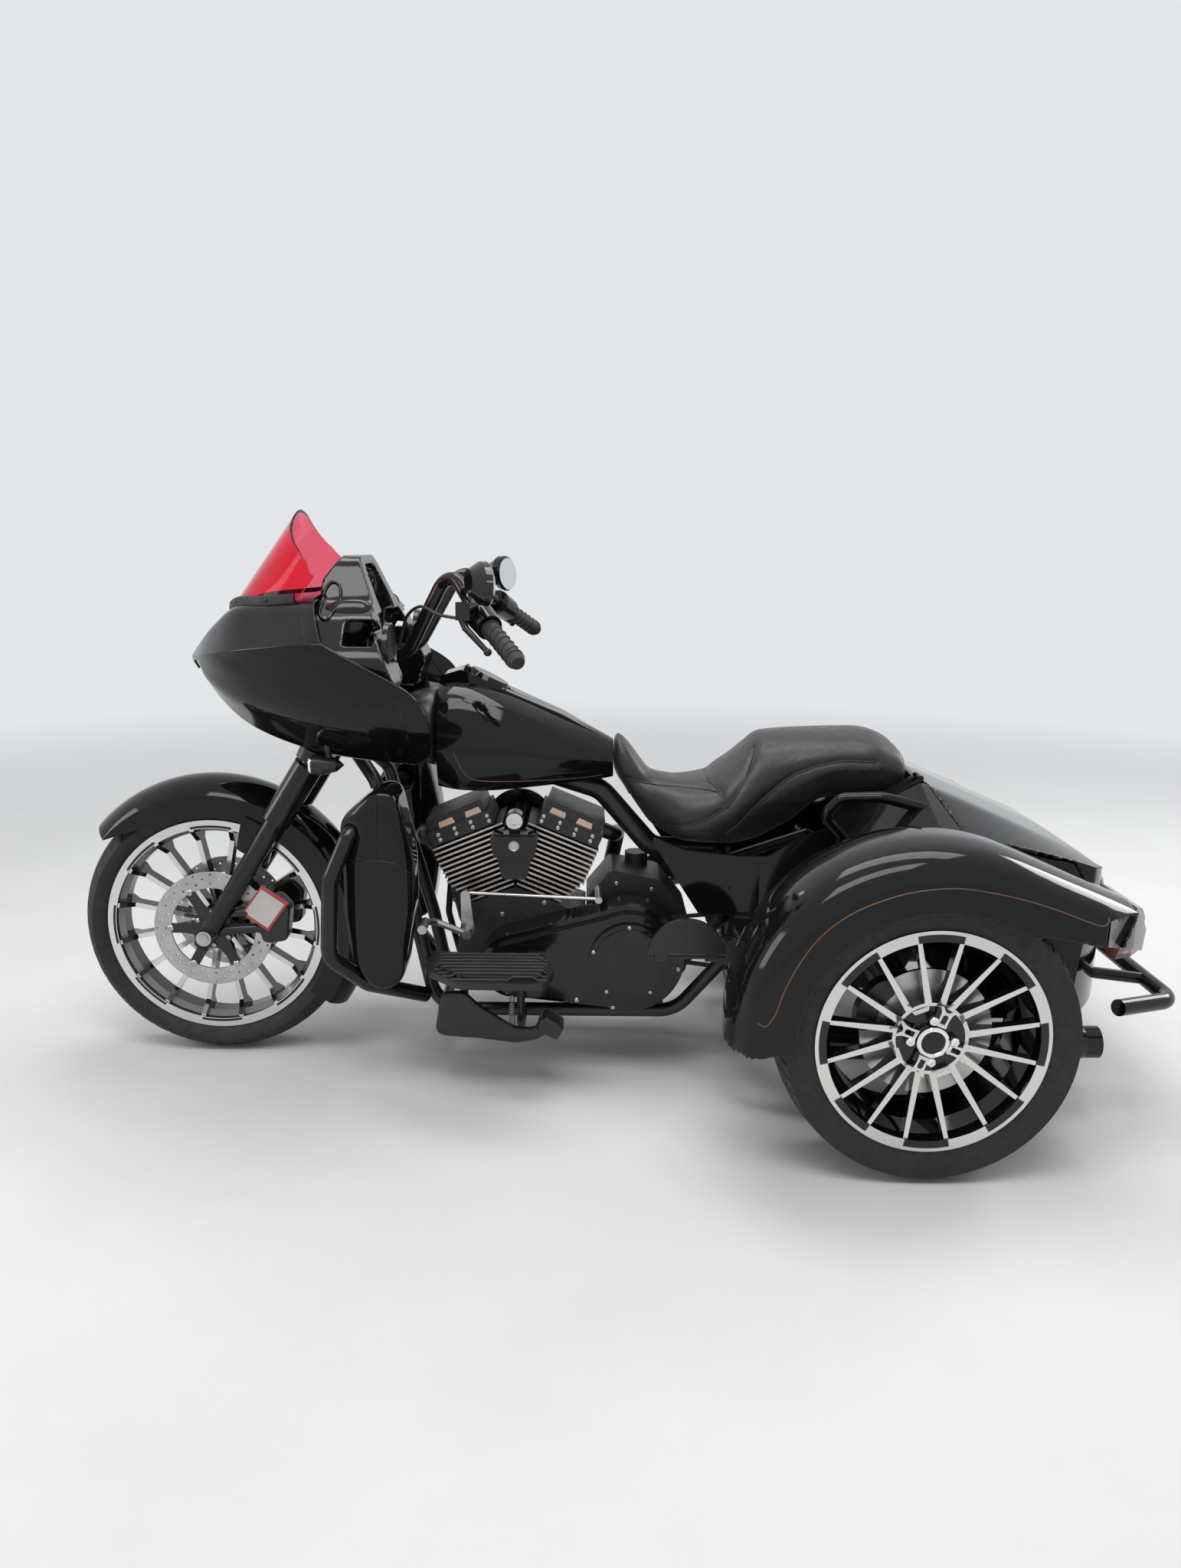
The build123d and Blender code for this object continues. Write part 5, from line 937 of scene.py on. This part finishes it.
def stuffed(mesh, free, start):
    """Vertex places after a short cloth run with inner pressure, held at the seams."""
    held = linked("stuffing", mesh.copy())
    group = held.vertex_groups.new(name="held")
    for index, value in enumerate(free):
        group.add([index], float(1 - value), "REPLACE")
    cloth = held.modifiers.new("cloth", "CLOTH")
    set_all(cloth.settings, {"use_pressure": True, "uniform_pressure_force": 4, "vertex_group_mass": "held",
                             "quality": 4, "tension_stiffness": 12, "compression_stiffness": 12,
                             "bending_stiffness": 0.6})
    cloth.settings.effector_weights.gravity = 0
    cloth.collision_settings.use_collision = False
    for frame_number in range(1, 21):
        scene.frame_set(frame_number)
    shift = places(held.evaluated_get(bpy.context.evaluated_depsgraph_get()).to_mesh()) - start
    size = np.linalg.norm(shift, axis=1).clip(1e-9)
    shift *= (np.minimum(size, 0.005) / size)[:, None]
    bpy.data.objects.remove(held)
    scene.frame_set(1)
    return start + shift


def make_seat():
    """The seat as one padded leather form with a nose, seams and welts."""
    bm = open_mesh(nodes["seat"].data)
    made = [[bm.verts.new(p) for p in rounded_ring(*row)] for row in SEAT_NOSE]
    for a, b in zip(made, made[1:]):
        strip(bm, a, b)
    bm.faces.new(list(reversed(made[0])))
    bm.faces.new(made[-1])
    mesh = applied(close_mesh(bm, "seat"), ("REMESH", {"mode": "VOXEL", "voxel_size": 0.0055}))
    relax(mesh, 40)
    lines = seam_lines(mesh)
    marks = point_tree([p for line in lines for p in line])
    rest = places(mesh)
    normal = np.array([v.normal for v in mesh.vertices])
    away = np.array([marks.find(Vector(p))[2] for p in rest])
    under = np.clip((0.15 - normal[:, 2]) / 0.5, 0, 1) * (rest[:, 2] < 0.7)
    free = np.clip((away - 0.004) / 0.02, 0, 1) * (1 - under) * np.clip((-0.034 - rest[:, 0]) / 0.03, 0, 1)
    moved = rest + normal * (0.0032 * free ** 0.6 - 0.0022 * np.exp(-(away / 0.006) ** 2))[:, None]
    move_to(mesh, moved)
    move_to(mesh, stuffed(mesh, free, moved))
    seat = add("seat_leather", mesh, leather)
    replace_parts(seat, "seat")
    tree = surface(mesh)
    welts = []
    for line in lines:
        laid = [tree.find_nearest(p) for p in line[::2]]
        welts.append([place + n * 0.0004 for place, n, _, _ in laid])
    tube("seat_welts", welts, 0.0019, leather, 2)


make_seat()

# Windshield

CREST_Y = (0, 0.03, 0.06, 0.09, 0.12, 0.15, 0.178, 0.196, 0.204)
CREST_Z = (1.3905, 1.387, 1.378, 1.364, 1.346, 1.324, 1.299, 1.272, 1.24)
# The band's section as (out, up) from the screen's foot
BAND = mm([(-3.5, -4), (7, -4), (7.5, 4), (5.5, 16), (3, 18), (-3.5, 18)])
FOOT_LOW = 1.15


def screen_spot(y, z):
    """A point on the windshield at y and z, and the way out."""
    share = (z - FOOT_LOW) / 0.25
    side, middle = 0.672 - 0.072 * share, 0.912 - 0.182 * share
    depth = middle - side
    radius = (0.206 ** 2 + depth ** 2) / (2 * depth)
    reach = sqrt(max(radius ** 2 - y ** 2, 0))
    return Vector((middle - radius + reach, y, z)), Vector((reach, y, 0)).normalized()


def screen_feet():
    """Points (y, z) along the screen's foot on the fairing's hood."""
    tree = surface("fairing_skin")
    feet = []
    for i in range(65):
        y = 0.2045 * sin((-1 + 2 * i / 64) * pi / 2)
        foot = 1.188
        for _ in range(3):
            hit = tree.ray_cast(Vector((screen_spot(y, foot)[0].x, y, 1.35)), Vector((0, 0, -1)))[0]
            foot = max(FOOT_LOW, hit.z) if hit else foot
        feet.append((y, foot))
    return feet


def windshield_sheet():
    """The tinted screen with its rubber band and round fasteners."""
    feet = screen_feet()
    rows = []
    for j in range(17):
        rows.append([screen_spot(y, foot + (np.interp(abs(y), CREST_Y, CREST_Z) - foot) * j / 16)[0]
                     for y, foot in feet])
    mesh = applied(rows_mesh("windshield_sheet", rows, False), ("SUBSURF", {"levels": 1}),
                   ("SOLIDIFY", {"thickness": 0.004, "offset": 0.0}))
    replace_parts(add("windshield_sheet", mesh, tint), "windshield")
    rows = []
    for y, foot in feet:
        place, out = screen_spot(y, foot)
        rows.append([place + out * a + Vector((0, 0, b)) for a, b in BAND])
    bm = open_mesh(rows_mesh("band", rows))
    bmesh.ops.holes_fill(bm, edges=bm.edges, sides=8)
    add("windshield_band", close_mesh(bm, "windshield_band"), rubber, sharp=40)
    bm = bmesh.new()
    for i in (9, 21, 32, 43, 55):
        place, out = screen_spot(*feet[i])
        turn = out.to_track_quat("Z", "Y").to_matrix().to_4x4()
        spot = Matrix.Translation(place + out * 0.0065 + Vector((0, 0, 0.007))) @ turn
        bmesh.ops.create_uvsphere(bm, u_segments=20, v_segments=10, radius=0.006,
                                  matrix=spot @ Matrix.Diagonal((1, 1, 0.5, 1)))
    add("windshield_fasteners", close_mesh(bm, "windshield_fasteners", False), deep_black)


windshield_sheet()

# Bar, controls and cable

CLUTCH_ROUTE = mm([(322, 262, 1151), (352, 259, 1154), (384, 246, 1160), (428, 185, 1172), (468, 125, 1146),
                   (486, 98, 1100), (505, 85, 1040), (540, 70, 985)])


def grip_ribs(side):
    """Two helices and two end rings round one grip."""
    def on_axis(share):
        return Vector((0.3 - 0.104 * share, side * (0.232 + 0.186 * share), 1.172 - 0.094 * share))
    way = (on_axis(1) - on_axis(0)).normalized()
    first = way.orthogonal().normalized()
    second = way.cross(first)

    def spot(share, radius, turn):
        return on_axis(share) + radius * (cos(turn) * first + sin(turn) * second)
    ribs = [[spot(0.47 + 0.47 * i / 120, 0.0192, side * 2 * pi * (2.5 * i / 120 + start)) for i in range(121)]
            for start in (0.0, 0.5)]
    return ribs + [[spot(share, 0.0194, 2 * pi * i / 40) for i in range(41)] for share in (0.425, 0.985)]


tube("grip_ribs", grip_ribs(1) + grip_ribs(-1), 0.0026, rubber, body="steering")
tube("clutch_cable", [CLUTCH_ROUTE], 0.0038, rubber, 8, body="steering")

# Dash

BACK = Vector((-0.921, 0, 0.394))
SPEAKER_R = 0.0545
POD_EDGE = [(659, 1196), (644, 1222), (624, 1214), (619, 1178), (632, 1144), (654, 1156)]


def on_face(share, across):
    """A point on the tilted instrument face: share from its top down."""
    return Vector((0.64 - 0.08 * share, across, 1.262 - 0.187 * share))


def gauge(tree, hand, side):
    """A ringed gauge on the instrument face."""
    centre = on_face(0.3, side * 0.045)
    place = tree.ray_cast(centre + BACK * 0.12, -BACK)[0]
    centre = (place if place and (place - centre).length < 0.03 else centre) + BACK * 0.001
    for kind in ("gauge_ring", "gauge_face"):
        lathe(kind, hand, centre, BACK)


def speaker(tree, hand, side):
    """A speaker behind slats."""
    spot = tree.ray_cast(Vector((0.3, side * 0.232, 1.076)), Vector((1, 0, 0)))[0]
    centre = Vector((min(spot.x, 0.592) - 0.002, side * 0.232, 1.076))
    for kind in ("speaker_ring", "speaker_cone"):
        lathe(kind, hand, centre, (-1, 0, 0))
    slats = []
    for i in range(-8, 9):
        rise = i * 0.0062
        half = sqrt(SPEAKER_R ** 2 - rise ** 2)
        slats.append([centre + Vector((-0.007, y, rise)) for y in (-half, half)])
    tube(f"speaker_slats_{hand}", slats, 0.0017, satin_black, round_steps=1)


def pod(tree, hand, side):
    """A rounded cover over the dash's side, with a raised edge."""
    bm = bmesh.new()
    bmesh.ops.create_uvsphere(bm, u_segments=48, v_segments=24, radius=1)
    for vert in bm.verts:
        x, y, z = vert.co
        vert.co = (0.604 + 0.066 * bend(x, 0.75) - 0.02 * z, side * (0.183 + 0.028 * y),
                   1.126 + 0.062 * bend(z, 0.8))
    add(f"pod_cover_{hand}", close_mesh(bm, "pod"), deep_black)
    oval = side_line(tree, POD_EDGE, side, 10, 0.001, True)
    tube(f"pod_edge_{hand}", [oval], 0.0042, gloss_black, closed=True)


def screen_panel():
    """The flat screen below the gauges, with soft edges."""
    bm = bmesh.new()
    corners = [on_face(share, y) + BACK * 0.002
               for share, y in ((0.56, -0.062), (0.56, 0.062), (0.9, 0.056), (0.9, -0.056))]
    low = [bm.verts.new(p - BACK * 0.004) for p in corners]
    high = [bm.verts.new(p + BACK * 0.003) for p in corners]
    bm.faces.new(low)
    bm.faces.new(high)
    strip(bm, low, high)
    bmesh.ops.recalc_face_normals(bm, faces=bm.faces)
    bmesh.ops.bevel(bm, geom=bm.edges[:], offset=0.0025, segments=3, affect="EDGES")
    add("screen_panel", close_mesh(bm, "screen_panel", False), screen, sharp=35)


dash = surface("fairing_dash_skin")
for hand, side in HANDS:
    gauge(dash, hand, side)
    speaker(dash, hand, side)
screen_panel()
DASH_BAR = mm([(607, 68, 1156), (596, 30, 1160), (590, -30, 1161), (590, -62, 1161)])
tube("dash_bar", [DASH_BAR], 0.0052, chrome, 6)
for hand, side in HANDS:
    pod(dash, hand, side)

# Screws on the engine's left side, each set on the surface that the side view meets there

SCREWS = mm([(250, 398), (144, 429), (44, 449), (-38, 470), (-128, 455), (-190, 289), (60, 214), (-118, 206),
             (153, 222), (276, 300), (232, 226), (-30, 188), (-186, 360)])


def side_screws():
    """Screws on the covers where they face the side."""
    tree = surface("primary_cover", "crankcase", "transmission", "derby_cover")
    items = []
    for x, z in SCREWS:
        place, normal, _, _ = tree.ray_cast(Vector((x, 0.5, z)), Vector((0, -1, 0)))
        if place and normal.y > 0.7:
            items.append((x, z, place.y - 0.0006, 0.0058, 0.0045))
    bolts("primary_screws", steel, items)


side_screws()

# Footboards and the parking pedal's spring


def footboard_ribs():
    """Rubber ribs along both footboards' tops."""
    tree = surface("footboards")
    ribs = []
    for side in (1, -1):
        for i in range(9):
            line = []
            for j in range(25):
                top = Vector((0.128 + 0.262 * j / 24, side * (0.236 + i * 0.0205), 0.6))
                place, normal, _, _ = tree.ray_cast(top, Vector((0, 0, -1)))
                if place and normal.z > 0.9 and place.z > 0.33:
                    line.append(place + Vector((0, 0, 0.0006)))
            ribs.append(line)
    tube("footboard_ribs", ribs, 0.0036, rubber)


footboard_ribs()
coil = [spin(0.216, 0.262, 0.0066, 2 * pi * i / 14) for i in range(169)]
coil = [(x, y, 0.168 + 0.078 * i / 168) for i, (x, y) in enumerate(coil)]
tube("pedal_spring", [coil], 0.0013, steel)

# Lamps

TAIL_SIDE = mm([(-1036, 520), (-1104, 514), (-1108, 560), (-1096, 592), (-1036, 600)])
AHEAD = (1, 0, 0)


def front_lamps():
    """Headlamps with bowls, bulbs and lenses; lenses on the turn signals."""
    for hand, side in HANDS:
        centre = (LAMP_X, side * LAMP_Y, LAMP_Z)
        bowl = lathe("lamp_bowl", hand, centre, AHEAD)
        if side > 0:
            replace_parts(bowl, "headlamps")
        for kind in ("lamp_bulb", "lamp_lens"):
            lathe(kind, hand, centre, AHEAD)
        for kind in ("signal_ring", "signal_lens"):
            lathe(kind, hand, (0.69, side * 0.214, 0.803), AHEAD, "steering")


def tail_lamps():
    """Pale sides and red cores inside the smoked lenses."""
    for hand, side in HANDS:
        cutout(f"tail_lamp_side_{hand}", [TAIL_SIDE], side * 0.629, side * 0.632, lamp_pale, bevel=0.0006)
    cores = nodes["tail_lamps"].data.copy()
    for vert in cores.vertices:
        middle = Vector((-1.086, 0.55 if vert.co.y > 0 else -0.55, 0.56))
        vert.co = middle + (vert.co - middle) * 0.8
    add("tail_lamp_cores", applied(cores, ("BEVEL", {"width": 0.002, "segments": 2})), red_lens, smooth=False)


front_lamps()
tail_lamps()

# Seams on the leg shields, cover between fairing and tank, blank card on the caliper

SHIELD_SEAMS = (
    [(517, 738), (520, 670), (522, 603)],
    [(523, 603), (573, 599), (612, 617)],
    [(523, 603), (480, 596), (448, 575)],
)
# x, low, top, half width
NECK = mm([(406.5, 790, 940, 60), (407, 762, 964, 106), (430, 766, 962, 110), (470, 790, 952, 100),
           (500, 815, 940, 86), (502, 850, 915, 50)])
CARD = mm([(905, 398), (850, 474), (785, 428), (840, 352)])
CARD_FACE = mm([(897, 401), (852, 463), (796, 423), (841, 361)])

shields = surface("lower_fairings")
for hand, side in HANDS:
    lines = [side_line(shields, path, side, 8, 0.0002) for path in SHIELD_SEAMS]
    tube(f"shield_seams_{hand}", lines, 0.0014, deep_black)
cover = rows_mesh("neck_cover", [rounded_ring(*row, 2.4) for row in NECK])
add("neck_cover", applied(cover, ("SUBSURF", {"levels": 1})), satin_black)
cutout("blank_card", [CARD], 0.1105, 0.1115, red_lens, "steering", 0.0002)
cutout("blank_card_face", [CARD_FACE], 0.1116, 0.1119, card_white, "steering", 0.00005)
